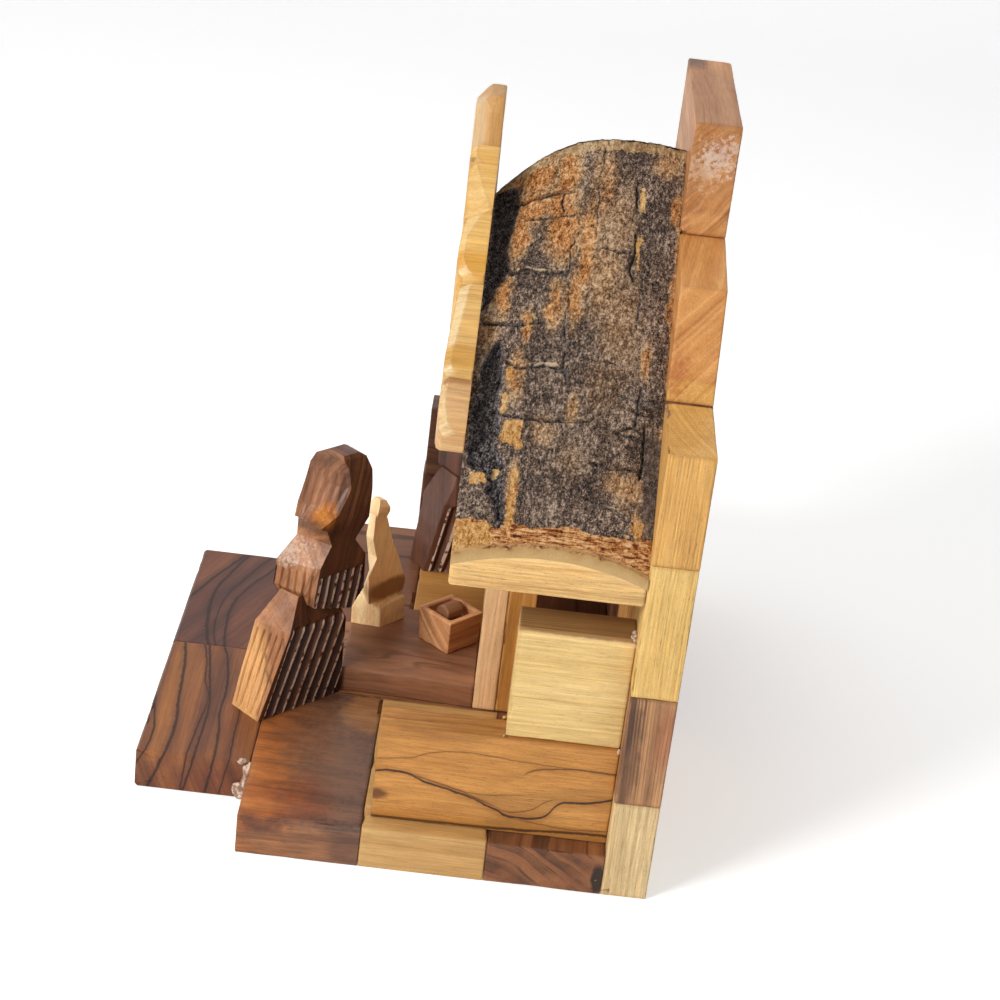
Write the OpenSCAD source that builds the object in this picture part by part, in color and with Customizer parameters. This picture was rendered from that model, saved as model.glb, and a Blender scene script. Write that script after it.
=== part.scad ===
// Wooden nativity stable, glued up from small planks of olive wood.
// A stepped base carries a jagged back board, low side walls, inner posts, a gable roof of two
// bark slabs with a stepped fascia along its front, and three carved figures round a manger.
// X runs across the stable, its open front looks along -Y, and Z is up.
// The origin is under the middle of the base.

/* [Base] */
// Width across both wings
base_w = 138; // [120:1:160]
// Depth from the front edge to the back of the board
base_d = 110; // [100:1:130]
// Thickness of the base planks
base_t = 9.5; // [7:0.5:13]
// Depth of the front step
front_d = 24.5; // [18:0.5:30]
// Set-back of the front step from the right wing's edge
step_right = 20; // [12:1:26]
// Set-back of the front step from the left wing's edge
step_left = 24.5; // [14:0.5:30]
// Width of the right plank of the front step
front_right_w = 47; // [30:1:60]
// Width of each wing
wing_w = 52; // [44:1:58]
// Length of the right wing's front plank
right_front_l = 25.5; // [18:0.5:32]
// Length of the right wing's middle plank
right_middle_l = 26; // [18:0.5:32]
// Length of the left wing's front plank
left_front_l = 29; // [18:0.5:34]
// Length of the left wing's middle plank
left_middle_l = 22; // [16:0.5:30]
// Chamfer along the base's outer top and bottom edges
base_bevel = 0.6; // [0.3:0.1:1.5]

/* [Back board] */
// Thickness of the board
board_t = 9.5; // [7:0.5:13]
// Width of the column of blocks at each side
column_w = 24.5; // [18:0.5:30]
// Height of the two shoulders
shoulder_z = 101; // [90:1:112]
// Heights of the right column's lowest, second and third block
right_foot_h = 22.5; // [14:0.5:30]
// Height of the right column's second block
right_dark_h = 25; // [16:0.5:30]
// Height of the right column's third block
right_pale_h = 29.5; // [18:0.5:32]
// Height of the left column's lowest block
left_foot_h = 27; // [16:0.5:30]
// Height of the left column's second block
left_dark_h = 22; // [16:0.5:30]
// Height of the left column's third block
left_pale_h = 26; // [18:0.5:32]
// Height of the lower middle panels
panel_h = 54; // [40:1:64]
// Height of the tier above the shoulders
tier_h = 24.5; // [18:0.5:30]
// Fall of the tier's two ledges, from the peak outwards
tier_fall = 3; // [0.5:0.5:5]
// Lean of the tier's steep right face
right_lean = 8.5; // [4:0.5:12]
// Lean of the tier's steep left face
left_lean = 5; // [3:0.5:10]
// Set-back of the tier's foot from the left column
left_tuck = 13; // [6:0.5:16]
// Width of the peak block
peak_w = 52; // [40:1:60]
// Height of the peak block
peak_h = 23.5; // [16:0.5:32]
// Shift of the peak block to the left
peak_shift = 12; // [0:0.5:14]
// Chamfer of the peak's upper corners
peak_bevel = 1; // [0.5:0.5:4]

/* [Roof] */
// Depth of the roof in front of the board
roof_d = 38.5; // [30:0.5:44]
// Height of the eave's underside
eave_z = 67.5; // [62:0.5:72]
// Height of the slab's end face at the eave
eave_h = 12.5; // [10:0.5:16]
// Pitch of the slab's sawn underside, in degrees
under_pitch = 38; // [34:0.5:40]
// Pitch of the bark, in degrees
bark_pitch = 41; // [40:0.5:43]
// Radius of the log that the slabs were cut from
log_r = 70; // [60:1:90]
// Distance of the log's crown from the board, at the ridge
crown_back = 10; // [4:0.5:12]
// Angle between the log's crown and the slope's fall line, in degrees
crown_turn = 6; // [0:1:8]
// Thickness of the bark
bark_t = 3.2; // [2:0.1:4.5]
// Depth of the cracks between the bark plates
crack_depth = 2; // [1:0.1:2.5]
// Width of the cracks across the slope
crack_w = 0.8; // [0.4:0.1:1.5]
// Width of the long furrows down the slope
furrow_w = 2.4; // [1:0.1:3.5]

/* [Fascia] */
// Thickness of the fascia pieces
fascia_t = 6; // [4:0.5:9]
// Height of the fascia's peak above the ridge
tip_rise = 7; // [4:0.5:12]
// Half of the peak's width
tip_half_w = 6; // [4:0.5:9]
// Height of a piece's outer end above the crown of the bark
high_rise = 2.3; // [1:0.1:4]
// Height of a piece's inner end above the crown of the bark
low_rise = 0.6; // [0:0.1:0.9]
// Height of the fascia's lower end above the crown of the bark
end_rise = 1.3; // [0:0.1:3]
// Least height of the fascia's lower end face
fascia_end_h = 4.1; // [3:0.1:6]
// Height of the fascia's lower edge above the slab's underside
fascia_lift = 2.7; // [1:0.1:4]
// Bevel along the fascia's upper front edge
fascia_bevel = 1.2; // [0.5:0.1:2]
// Bevel of the fascia's peak
tip_bevel = 3; // [1:0.1:4]

/* [Walls and posts] */
// Height of the sills
sill_h = 22.5; // [16:0.5:26]
// Thickness of the sills
sill_t = 7.5; // [6:0.5:9]
// Length of the sills in front of the board
sill_l = 49; // [42:0.5:54]
// Set-back of the sills from the wings' edges
sill_inset = 4.5; // [2:0.5:6]
// Thickness of the side walls
wall_t = 9; // [7:0.5:10]
// Set-back of the side walls from the wings' edges
wall_inset = 5.5; // [4:0.5:7]
// Length of the right wall
right_wall_l = 23.5; // [16:0.5:30]
// Height of the right wall above its sill
right_wall_h = 25.5; // [16:0.5:32]
// Height of the left wall above its sill
left_wall_h = 18; // [14:0.5:27]
// Set-back of the left wall's front end from its sill's
left_wall_inset = 0.5; // [0:0.5:8]
// Height of the saw kerf in the left sill above the base
kerf_h = 9.8; // [4:0.2:14]
// Width of the saw kerf
kerf_w = 1.2; // [0.6:0.1:2]
// Depth of the saw kerf
kerf_depth = 2; // [1:0.1:3]
// Distance across the outer faces of the posts
post_span = 33.5; // [28:0.5:34]
// Width of the posts
post_w = 6.5; // [5:0.5:9]
// Depth of the pale front posts
front_post_l = 5.2; // [4:0.1:7]
// Depth of the amber back posts
back_post_l = 6.2; // [4:0.1:8]
// Distance from the front posts' faces to the board
post_reach = 30.5; // [24:0.5:34]

/* [Platform and manger] */
// Height of the platform
platform_h = 5.8; // [4:0.2:8]
// Length of the platform in front of the posts
platform_l = 30; // [28:0.5:36]
// Width of the platform's front edge
platform_front_w = 30; // [28:0.5:34]
// Distance of the manger's near corner from the platform's middle line
manger_side = 4.1; // [2:0.1:4.5]
// Distance of the manger's near corner from the posts
manger_off = 7; // [6:0.1:8]
// Side of the manger's square foot
manger_w = 9.8; // [8:0.1:10]
// Height of the manger
manger_h = 8.3; // [6:0.1:11]
// Flare of the manger's rim on each side
manger_flare = 0.4; // [0.2:0.1:0.6]
// Thickness of the manger's rim
manger_rim = 1.5; // [1:0.1:2]
// Depth of the manger's hollow
hollow_depth = 2.4; // [1.5:0.1:4]
// Diameter of the swaddled child
child_d = 4; // [3:0.1:5]

/* [Figures] */
// Height of the standing figure
standing_h = 58.5; // [50:0.5:66]
// Length of the standing figure's robe at its foot
standing_l = 24; // [20:0.5:27]
// Thickness of the standing figure
standing_t = 9.6; // [8:0.2:12]
// Height of the figure by the left wall
waiting_h = 56; // [48:0.5:60]
// Length of the robe of the figure by the left wall
waiting_l = 22; // [18:0.5:24]
// Thickness of the figure by the left wall
waiting_t = 6.6; // [5:0.2:7]
// Room between the foot of the figure by the left wall and the left sill
waiting_gap = 4; // [3.5:0.1:6]
// Distance of that figure behind the left sill's front end
waiting_back = 2.8; // [1:0.1:5]
// Height of the kneeling figure
kneeling_h = 32.5; // [28:0.5:38]
// Length of the kneeling figure's foot
kneeling_l = 7.7; // [6.5:0.1:9]
// Thickness of the kneeling figure
kneeling_t = 7; // [6:0.1:8]
// Distance of the kneeling figure's near corner from the platform's middle line
kneeling_side = 5.1; // [3:0.1:6]
// Distance of the kneeling figure's near corner from the platform's front edge
kneeling_back = 6.8; // [6:0.1:9]
// Angle that the standing and the kneeling figure and the manger are turned by, in degrees
turn = 137; // [130:1:144]
// Angle that the figure by the left wall is turned by, in degrees
waiting_turn = 93; // [90:1:95]
// Width of the carved grooves
groove_w = 0.8; // [0.4:0.1:1.2]
// Depth of the carved grooves
groove_depth = 0.7; // [0.3:0.1:1]
// Distance from one groove to the next
groove_pitch = 2.8; // [2:0.1:4]

/* [Hidden] */
$fn = 96;
overrun = 1;
half_w = base_w / 2;
half_d = base_d / 2;
board_y = half_d - board_t;
roof_y = board_y - roof_d;
fascia_y = roof_y - fascia_t;
post_y = board_y - post_reach;
platform_y = post_y - platform_l;
floor_z = base_t;
platform_z = floor_z + platform_h;
sill_z = floor_z + sill_h;
sill_y = board_y - sill_l;
step_y = front_d - half_d;
wing_x = half_w - wing_w;
column_x = half_w - column_w;
tier_z = shoulder_z + tier_h;
peak_right = peak_w / 2 - peak_shift;
peak_left = -peak_w / 2 - peak_shift;
diagonal = sqrt(2);

// Height of the slabs' underside and of the bark's crown at a place across the stable
function under_z(x) = eave_z + (half_w - abs(x)) * tan(under_pitch);
function crown_z(x) = eave_z + eave_h + (half_w - abs(x)) * tan(bark_pitch);

// Places of the fascia's joints, from the peak to its lower end
right_joint_shares = [0.25, 0.41, 0.65, 0.78];
left_joint_shares = [0.22, 0.44, 0.62, 0.8];
// Places of the cracks down the slope, and the angle of each
crack_shares = [0.12, 0.31, 0.47, 0.62, 0.8];
crack_turns = [4, -5, 3, -3, 6];
// Where the long furrows start and end down the slope, and how far across the roof
furrow_shares = [[0.42, 1.1, 0.12], [0.55, 1.1, 0.87]];
furrow_turn = 5;

// Levels of the carved figures, from the foot up. A level is a sloping four-sided section: its back
// and front as shares of the length, its near and far side as shares of the thickness, the heights
// of its back and front as shares of the height, and how far its near back corner is cut forward.
robe_levels = [
    [0, 1, 0, 1, 0, 0, 0],
    [0.22, 0.99, 0, 1, 0.335, 0.325, 0.09],
    [0.43, 0.94, 0.27, 0.79, 0.46, 0.4, 0.04]
];
torso_levels = [
    [0.47, 1.04, 0.02, 0.98, 0.425, 0.357, 0.11],
    [0.4, 1.18, 0, 1, 0.47, 0.43, 0.18],
    [0.42, 1.16, 0, 1, 0.57, 0.58, 0.19],
    [0.73, 0.98, 0.1, 0.9, 0.655, 0.645, 0.13],
    [0.75, 1, 0.25, 0.77, 0.76, 0.72, 0.04]
];
head_levels = [
    [0.555, 1.03, 0.03, 0.87, 0.745, 0.655, 0.025],
    [0.6, 1.165, 0, 0.9, 0.8, 0.735, 0.2],
    [0.68, 1.175, 0.02, 0.88, 0.895, 0.845, 0.265],
    [0.73, 1.15, 0.05, 0.85, 0.955, 0.93, 0.2],
    [0.8, 1.02, 0.2, 0.72, 1, 1, 0.06]
];
// Lean of the robe's and torso's grooves, in degrees, and their spans as shares of the height
robe_groove_lean = 20;
robe_groove_shares = [0, 0.3];
torso_groove_lean = 8;
torso_groove_shares = [0.34, 0.53];
// The figure by the wall stands straighter: share of its length by which its head is further back,
// and share by which its far back corner is cut back
waiting_lean_back = 0.42;
waiting_splay = 0.16;

// Levels of the kneeling figure: its folded legs, robe and hood
kneeling_leg_levels = [
    [-0.55, 1, 0, 0.8, 0, 0, 0.55],
    [-0.57, 0.92, 0, 0.8, 0.13, 0.19, 0.52],
    [-0.4, 0.8, 0.1, 0.7, 0.23, 0.23, 0.2]
];
kneeling_robe_levels = [
    [-0.3, 0.85, 0.08, 0.78, 0.21, 0.2, -0.2],
    [0, 0.97, 0.07, 0.8, 0.39, 0.31, -0.62],
    [-0.18, 0.67, 0.14, 0.75, 0.55, 0.5, -0.1],
    [-0.35, 0.4, 0.2, 0.7, 0.7, 0.64, -0.1],
    [-0.3, 0.15, 0.3, 0.65, 0.88, 0.84, -0.05]
];
kneeling_hood_levels = [
    [-0.3, 0.02, 0.3, 0.65, 0.86, 0.82, 0],
    [-0.33, 0.14, 0.22, 0.72, 0.9, 0.9, 0],
    [-0.3, 0.14, 0.22, 0.72, 0.95, 0.93, 0],
    [-0.22, 0.02, 0.3, 0.62, 1, 0.985, 0]
];
// Elbow of the kneeling figure, as shares of its thickness and height, and its span of the length
kneeling_elbow_shares = [[0.5, 0.5], [1.12, 0.6], [0.5, 0.72]];
kneeling_elbow_span = [-0.35, 0.15];

// A plank between two opposite corners
module plank(low, high) {
    translate(low) cube(high - low);
}

// A plank of the base between two places across and two in depth
module base_plank(x0, x1, y0, y1) {
    plank([x0, y0, 0], [x1, y1, base_t]);
}

// A square bar set cornerwise along an edge of the base, to cut its chamfer
module base_edge(from, length, along_x) {
    side = base_bevel * diagonal;
    translate(from) rotate([0, 0, along_x ? 0 : 90]) translate([-overrun, 0, 0]) rotate([45, 0, 0])
        translate([0, -side / 2, -side / 2]) cube([length + 2 * overrun, side, side]);
}

module base_front_right() {
    color("#a5683a") difference() {
        base_plank(half_w - step_right - front_right_w, half_w - step_right, -half_d, step_y);
        for (z = [0, base_t]) {
            base_edge([half_w - step_right - front_right_w, -half_d, z], front_right_w, true);
            base_edge([half_w - step_right, -half_d, z], front_d, false);
        }
    }
}

module base_front_left() {
    color("#6f4630") difference() {
        base_plank(step_left - half_w, half_w - step_right - front_right_w, -half_d, step_y);
        for (z = [0, base_t]) {
            base_edge([step_left - half_w, -half_d, z], base_w - step_left - step_right - front_right_w, true);
            base_edge([step_left - half_w, -half_d, z], front_d, false);
        }
    }
}

module base_centre() {
    color("#7d4f35") base_plank(-wing_x, wing_x, step_y, board_y);
}

// A plank of the right wing, chamfered along the wing's edge; the left wing mirrors it
module wing_plank(y0, y1, front = false) {
    difference() {
        base_plank(wing_x, half_w, y0, y1);
        for (z = [0, base_t]) {
            base_edge([half_w, y0, z], y1 - y0, false);
            if (front) base_edge([half_w - step_right, y0, z], step_right, true);
        }
    }
}

module base_right_front() {
    color("#94583a") wing_plank(step_y, step_y + right_front_l, true);
}

module base_right_middle() {
    color("#dcb878") wing_plank(step_y + right_front_l, step_y + right_front_l + right_middle_l);
}

module base_right_back() {
    color("#6a4029") wing_plank(step_y + right_front_l + right_middle_l, board_y);
}

module base_left_front() {
    color("#8d5a3a") mirror([1, 0, 0]) wing_plank(step_y, step_y + left_front_l, true);
}

module base_left_middle() {
    color("#b98850") mirror([1, 0, 0])
        wing_plank(step_y + left_front_l, step_y + left_front_l + left_middle_l);
}

module base_left_back() {
    color("#76492f") mirror([1, 0, 0]) wing_plank(step_y + left_front_l + left_middle_l, board_y);
}

// The platform widens a little from its front edge to the posts
module platform() {
    color("#7a4b33") translate([0, 0, floor_z]) linear_extrude(platform_h) polygon([
        [-platform_front_w / 2, platform_y], [platform_front_w / 2, platform_y],
        [post_span / 2, post_y], [-post_span / 2, post_y]
    ]);
}

module right_sill() {
    color("#b87846")
        plank([half_w - sill_inset - sill_t, sill_y, floor_z], [half_w - sill_inset, board_y, sill_z]);
}

// The left sill has a saw kerf along its inner face, near its foot
module left_sill() {
    inner_x = sill_inset + sill_t - half_w;
    kerf_z = floor_z + kerf_h;
    color("#6b4631") difference() {
        plank([sill_inset - half_w, sill_y, floor_z], [inner_x, board_y, sill_z]);
        plank([inner_x - kerf_depth, sill_y - overrun, kerf_z], [inner_x + overrun, board_y + overrun, kerf_z + kerf_w]);
    }
}

module right_wall() {
    color("#e2c285") plank([half_w - wall_inset - wall_t, board_y - right_wall_l, sill_z],
        [half_w - wall_inset, board_y, sill_z + right_wall_h]);
}

// An upright from a height to the slab's sloping underside
module upright(x0, x1, y0, y1, z0) {
    translate([0, y1, 0]) rotate([90, 0, 0]) linear_extrude(y1 - y0)
        polygon([[x0, z0], [x1, z0], [x1, under_z(x1)], [x0, under_z(x0)]]);
}

module left_wall() {
    color("#5f3d2c") plank([wall_inset - half_w, sill_y + left_wall_inset, sill_z],
        [wall_inset + wall_t - half_w, board_y, sill_z + left_wall_h]);
}

module right_post_front() {
    color("#d9b07a")
        upright(post_span / 2 - post_w, post_span / 2, post_y, post_y + front_post_l, floor_z);
}

module right_post_back() {
    color("#b0722c") upright(post_span / 2 - post_w, post_span / 2,
        post_y + front_post_l, post_y + front_post_l + back_post_l, floor_z);
}

module left_post_front() {
    color("#d3a970")
        upright(-post_span / 2, post_w - post_span / 2, post_y, post_y + front_post_l, floor_z);
}

module left_post_back() {
    color("#a56a2b") upright(-post_span / 2, post_w - post_span / 2,
        post_y + front_post_l, post_y + front_post_l + back_post_l, floor_z);
}

// A block of the board between two places across and two heights
module board_block(x0, x1, z0, z1) {
    plank([x0, board_y, z0], [x1, half_d, z1]);
}

// A block of the board with an outline of its own
module board_outline(points) {
    translate([0, half_d, 0]) rotate([90, 0, 0]) linear_extrude(board_t) polygon(points);
}

module board_right_foot() {
    color("#e6c98c") board_block(column_x, half_w, 0, right_foot_h);
}

module board_right_dark() {
    color("#8a4a2c") board_block(column_x, half_w, right_foot_h, right_foot_h + right_dark_h);
}

module board_right_pale() {
    bottom = right_foot_h + right_dark_h;
    color("#e3c487") board_block(column_x, half_w, bottom, bottom + right_pale_h);
}

module board_right_shoulder() {
    color("#d9aa60")
        board_block(column_x, half_w, right_foot_h + right_dark_h + right_pale_h, shoulder_z);
}

module board_left_foot() {
    color("#d8b273") board_block(-half_w, -column_x, 0, left_foot_h);
}

module board_left_dark() {
    color("#7a4630") board_block(-half_w, -column_x, left_foot_h, left_foot_h + left_dark_h);
}

module board_left_pale() {
    bottom = left_foot_h + left_dark_h;
    color("#dcb97c") board_block(-half_w, -column_x, bottom, bottom + left_pale_h);
}

module board_left_shoulder() {
    color("#c8925a")
        board_block(-half_w, -column_x, left_foot_h + left_dark_h + left_pale_h, shoulder_z);
}

module board_panel_lower_right() {
    color("#b98550") board_block(0, column_x, 0, panel_h);
}

module board_panel_lower_left() {
    color("#9a6740") board_block(-column_x, 0, 0, panel_h);
}

module board_panel_upper_right() {
    color("#a7713f") board_block(0, column_x, panel_h, shoulder_z);
}

module board_panel_upper_left() {
    color("#c79a60") board_block(-column_x, 0, panel_h, shoulder_z);
}

module board_tier_right() {
    color("#c98a4c") board_outline([[0, shoulder_z], [column_x, shoulder_z],
        [column_x - right_lean, tier_z - tier_fall], [peak_right, tier_z], [0, tier_z]]);
}

module board_tier_left() {
    foot_x = -column_x - left_tuck;
    color("#b27443") board_outline([[0, shoulder_z], [0, tier_z], [peak_left, tier_z],
        [foot_x + left_lean, tier_z - tier_fall], [foot_x, shoulder_z]]);
}

module board_peak() {
    top = tier_z + peak_h;
    color("#a4683f") board_outline([[peak_left, tier_z], [peak_right, tier_z], [peak_right, top - peak_bevel],
        [peak_right - peak_bevel, top], [peak_left + peak_bevel, top - peak_bevel / 2],
        [peak_left, top - peak_bevel]]);
}

// The right half of the roof before it is rounded: sawn underside, upright ridge and eave
module slab_blank() {
    translate([0, board_y, 0]) rotate([90, 0, 0]) linear_extrude(roof_d) polygon([
        [0, under_z(0)], [half_w, eave_z], [half_w, crown_z(half_w) + overrun], [0, crown_z(0) + overrun]
    ]);
}

// Frame on the bark: X runs down the slope from the ridge, Z stands out of the bark
module on_slope() {
    translate([0, board_y - crown_back, crown_z(0)]) rotate([0, bark_pitch, 0]) children();
}

// The round log that the slab was cut from, less a thickness all round
module log_round(inset) {
    on_slope() rotate([0, 0, -crown_turn]) translate([-half_w, 0, -log_r]) rotate([0, 90, 0])
        cylinder(r = log_r - inset, h = half_w / cos(bark_pitch) + base_w);
}

module roof_slab() {
    intersection() {
        slab_blank();
        log_round(bark_t);
    }
}

// Saw-thin cracks across the slope and two wide furrows down it
module bark_cracks() {
    slope_l = half_w / cos(bark_pitch);
    on_slope() {
        for (i = [0 : len(crack_shares) - 1])
            translate([crack_shares[i] * slope_l, 0, 0]) rotate([0, 0, crack_turns[i]])
                cube([crack_w, 2 * roof_d, 2 * log_r], center = true);
        for (f = furrow_shares)
            translate([f[0] * slope_l, crown_back - roof_d + f[2] * roof_d, -log_r])
                rotate([0, 0, furrow_turn]) cube([(f[1] - f[0]) * slope_l, furrow_w, 2 * log_r]);
    }
}

// The bark lies round the slab; its cracks stop short of the wood
module roof_bark() {
    difference() {
        intersection() {
            slab_blank();
            log_round(0);
        }
        log_round(bark_t);
        difference() {
            bark_cracks();
            log_round(crack_depth);
        }
    }
}

module roof_slab_right() {
    color("#e4c788") roof_slab();
}

module roof_slab_left() {
    color("#e4c788") mirror([1, 0, 0]) roof_slab();
}

module roof_bark_right() {
    color("#4b4038") roof_bark();
}

module roof_bark_left() {
    color("#4b4038") mirror([1, 0, 0]) roof_bark();
}

// Square bar set cornerwise along the fascia's upper front edge between two points of it
module fascia_edge(a, b, bevel) {
    side = bevel * diagonal;
    run = b - a;
    translate([a[0], fascia_y, a[1]]) rotate([0, -atan2(run[1], run[0]), 0]) translate([-overrun, 0, 0])
        rotate([45, 0, 0]) translate([0, -side / 2, -side / 2])
        cube([norm(run) + 2 * overrun, side, side]);
}

// A piece of the right fascia between two places across; its top steps down at its outer end
module fascia_piece(x0, x1, rise0, rise1, level_foot = false) {
    inner = [x0, crown_z(x0) + rise0];
    outer = [x1, crown_z(x1) + rise1];
    sloping_foot = under_z(x0) + fascia_lift;
    foot0 = level_foot ? min(sloping_foot, outer[1] - fascia_end_h) : sloping_foot;
    foot1 = level_foot ? foot0 : under_z(x1) + fascia_lift;
    difference() {
        translate([0, roof_y, 0]) rotate([90, 0, 0]) linear_extrude(fascia_t)
            polygon([[x0, foot0], [x1, foot1], outer, inner]);
        fascia_edge(inner, outer, fascia_bevel);
    }
}

module fascia_peak() {
    top = crown_z(0) + tip_rise;
    foot = under_z(tip_half_w) + fascia_lift;
    shoulder = top - tip_bevel;
    color("#c08a4e") difference() {
        translate([0, roof_y, 0]) rotate([90, 0, 0]) linear_extrude(fascia_t) polygon([
            [-tip_half_w, foot], [tip_half_w, foot], [tip_half_w, shoulder],
            [tip_half_w - tip_bevel / 2, top], [tip_bevel / 2 - tip_half_w, top], [-tip_half_w, shoulder]
        ]);
        fascia_edge([-tip_half_w, top], [tip_half_w, top], tip_bevel);
        for (side = [-1, 1])
            fascia_edge([side * tip_half_w, crown_z(tip_half_w)], [side * tip_half_w, top], tip_bevel);
    }
}

module fascia_right_top() {
    color("#e0b256") fascia_piece(tip_half_w, right_joint_shares[0] * half_w, high_rise, high_rise);
}

module fascia_right_upper() {
    color("#dba941")
        fascia_piece(right_joint_shares[0] * half_w, right_joint_shares[1] * half_w, high_rise - low_rise, high_rise);
}

module fascia_right_middle() {
    color("#dcab4c")
        fascia_piece(right_joint_shares[1] * half_w, right_joint_shares[2] * half_w, low_rise, high_rise);
}

module fascia_right_low() {
    color("#dfb576")
        fascia_piece(right_joint_shares[2] * half_w, right_joint_shares[3] * half_w, low_rise, end_rise, true);
}

module fascia_left_top() {
    color("#d7a656") mirror([1, 0, 0])
        fascia_piece(tip_half_w, left_joint_shares[0] * half_w, high_rise - low_rise, high_rise);
}

module fascia_left_upper() {
    color("#deb15a") mirror([1, 0, 0])
        fascia_piece(left_joint_shares[0] * half_w, left_joint_shares[1] * half_w, low_rise, high_rise);
}

module fascia_left_middle() {
    color("#cf9f4d") mirror([1, 0, 0])
        fascia_piece(left_joint_shares[1] * half_w, left_joint_shares[2] * half_w, low_rise, high_rise);
}

module fascia_left_low() {
    color("#d9ad6c") mirror([1, 0, 0])
        fascia_piece(left_joint_shares[2] * half_w, left_joint_shares[3] * half_w, low_rise, end_rise, true);
}

// Corners of a level: near back, near front, far front, far back. It slopes along the length only.
function corners(v, l, t, h, splay, lean_back) =
    let (
        back = v[0] - lean_back * v[4],
        front = v[1] - lean_back * v[4],
        fall = (v[5] - v[4]) / (v[1] - v[0])
    ) [
        [(back + v[6]) * l, v[2] * t, (v[4] + v[6] * fall) * h],
        [front * l, v[2] * t, v[5] * h],
        [front * l, v[3] * t, v[5] * h],
        [(back - splay) * l, v[3] * t, (v[4] - splay * fall) * h]
    ];

// A carved form with flat facets between its levels
module faceted(levels, l, t, h, splay = 0, lean_back = 0) {
    sides = len(corners(levels[0], l, t, h, splay, lean_back));
    top = sides * (len(levels) - 1);
    points = [for (v = levels) each corners(v, l, t, h, splay, lean_back)];
    polyhedron(points, concat(
        [[for (j = [0 : sides - 1]) j]],
        [[for (j = [1 : sides]) top + sides - j]],
        [for (i = [0 : len(levels) - 2], j = [0 : sides - 1]) [i * sides + j, (i + 1) * sides + j, (i + 1) * sides + (j + 1) % sides]],
        [for (i = [0 : len(levels) - 2], j = [0 : sides - 1]) [i * sides + j, (i + 1) * sides + (j + 1) % sides, i * sides + (j + 1) % sides]]
    ));
}

// Grooves cut side by side into both broad faces and the narrow back face
module carved_grooves(t, h, from, lean, span_shares, count) {
    groove_l = (span_shares[1] - span_shares[0]) * h;
    for (i = [0 : count - 1])
        for (y = [-overrun, t - groove_depth])
            translate([from + i * groove_pitch, y, span_shares[0] * h - overrun]) rotate([0, lean, 0])
                cube([groove_w, groove_depth + overrun, groove_l + overrun]);
}

// Grooves cut side by side into the narrow back face, which leans as they do
module back_grooves(t, h, from, lean, span_shares) {
    groove_l = (span_shares[1] - span_shares[0]) * h;
    pitch = groove_pitch * back_pitch_share;
    translate([from - overrun, 0, span_shares[0] * h]) rotate([0, lean, 0])
        for (i = [1 : floor(t / pitch) - 1])
            translate([0, i * pitch, -overrun]) cube([groove_depth + overrun, groove_w, groove_l + overrun]);
}
back_pitch_share = 0.75;
robe_back_lean = 17;

// An upright hooded figure that bows forward: robe, torso and head are one carved piece
module bowing_figure(l, t, h, splay = 0, lean_back = 0) {
    unbow = atan(lean_back * l / h);
    difference() {
        faceted(robe_levels, l, t, h, splay, lean_back);
        carved_grooves(t, h, groove_pitch / 2, robe_groove_lean - unbow, robe_groove_shares,
            floor(l / groove_pitch) - 1);
        if (splay == 0) back_grooves(t, h, 0, robe_back_lean, robe_groove_shares);
    }
    difference() {
        faceted(torso_levels, l, t, h, splay, lean_back);
        carved_grooves(t, h, (torso_groove_from - lean_back / 2) * l, torso_groove_lean - unbow,
            torso_groove_shares, floor(l / 2 / groove_pitch) + 1);
    }
    faceted(head_levels, l, t, h, splay, lean_back);
}
torso_groove_from = 0.6;

// The standing figure's toe stands off the platform's front corner, which lies this far across it
toe_clearance = 0.3;
toe_across = 0.7;

// Places of the other figures and the manger: the near corner of each one's foot
waiting_x = sill_inset + sill_t + waiting_gap + waiting_t - half_w;
waiting_y = sill_y + waiting_back;
kneeling_x = -kneeling_side;
kneeling_y = platform_y + kneeling_back;
manger_x = manger_side;
manger_y = post_y - manger_off;

module standing_figure() {
    color("#6b4330") translate([platform_front_w / 2, platform_y, floor_z]) rotate([0, 0, turn])
        translate([-standing_l - toe_clearance, -toe_across, 0])
            bowing_figure(standing_l, standing_t, standing_h);
}

module waiting_figure() {
    color("#4f3226") translate([waiting_x, waiting_y, floor_z]) rotate([0, 0, waiting_turn])
        bowing_figure(waiting_l, waiting_t, waiting_h, waiting_splay, waiting_lean_back);
}

module kneeling_figure() {
    elbow_l = (kneeling_elbow_span[1] - kneeling_elbow_span[0]) * kneeling_l;
    elbow = [for (p = kneeling_elbow_shares) [p[0] * kneeling_t, p[1] * kneeling_h]];
    color("#dbb477") translate([kneeling_x, kneeling_y, platform_z]) rotate([0, 0, turn]) {
        faceted(kneeling_leg_levels, kneeling_l, kneeling_t, kneeling_h);
        faceted(kneeling_robe_levels, kneeling_l, kneeling_t, kneeling_h);
        faceted(kneeling_hood_levels, kneeling_l, kneeling_t, kneeling_h);
        translate([kneeling_elbow_span[0] * kneeling_l, 0, 0]) rotate([90, 0, 90])
            linear_extrude(elbow_l) polygon(elbow);
    }
}

// Outline of the manger from any side: it flares from its foot to its rim
manger_outline = [[0, 0], [manger_w, 0], [manger_w + manger_flare, manger_h], [-manger_flare, manger_h]];

module manger() {
    rim_w = manger_w + 2 * manger_flare;
    color("#9c6640") translate([manger_x, manger_y, platform_z]) rotate([0, 0, turn]) difference() {
        intersection() {
            translate([0, rim_w, 0]) rotate([90, 0, 0]) linear_extrude(rim_w + manger_flare) polygon(manger_outline);
            translate([-manger_flare, 0, 0]) rotate([90, 0, 90]) linear_extrude(rim_w + manger_flare) polygon(manger_outline);
        }
        translate([manger_rim - manger_flare, manger_rim - manger_flare, manger_h - hollow_depth])
            cube([rim_w - 2 * manger_rim, rim_w - 2 * manger_rim, hollow_depth + overrun]);
    }
}

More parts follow.
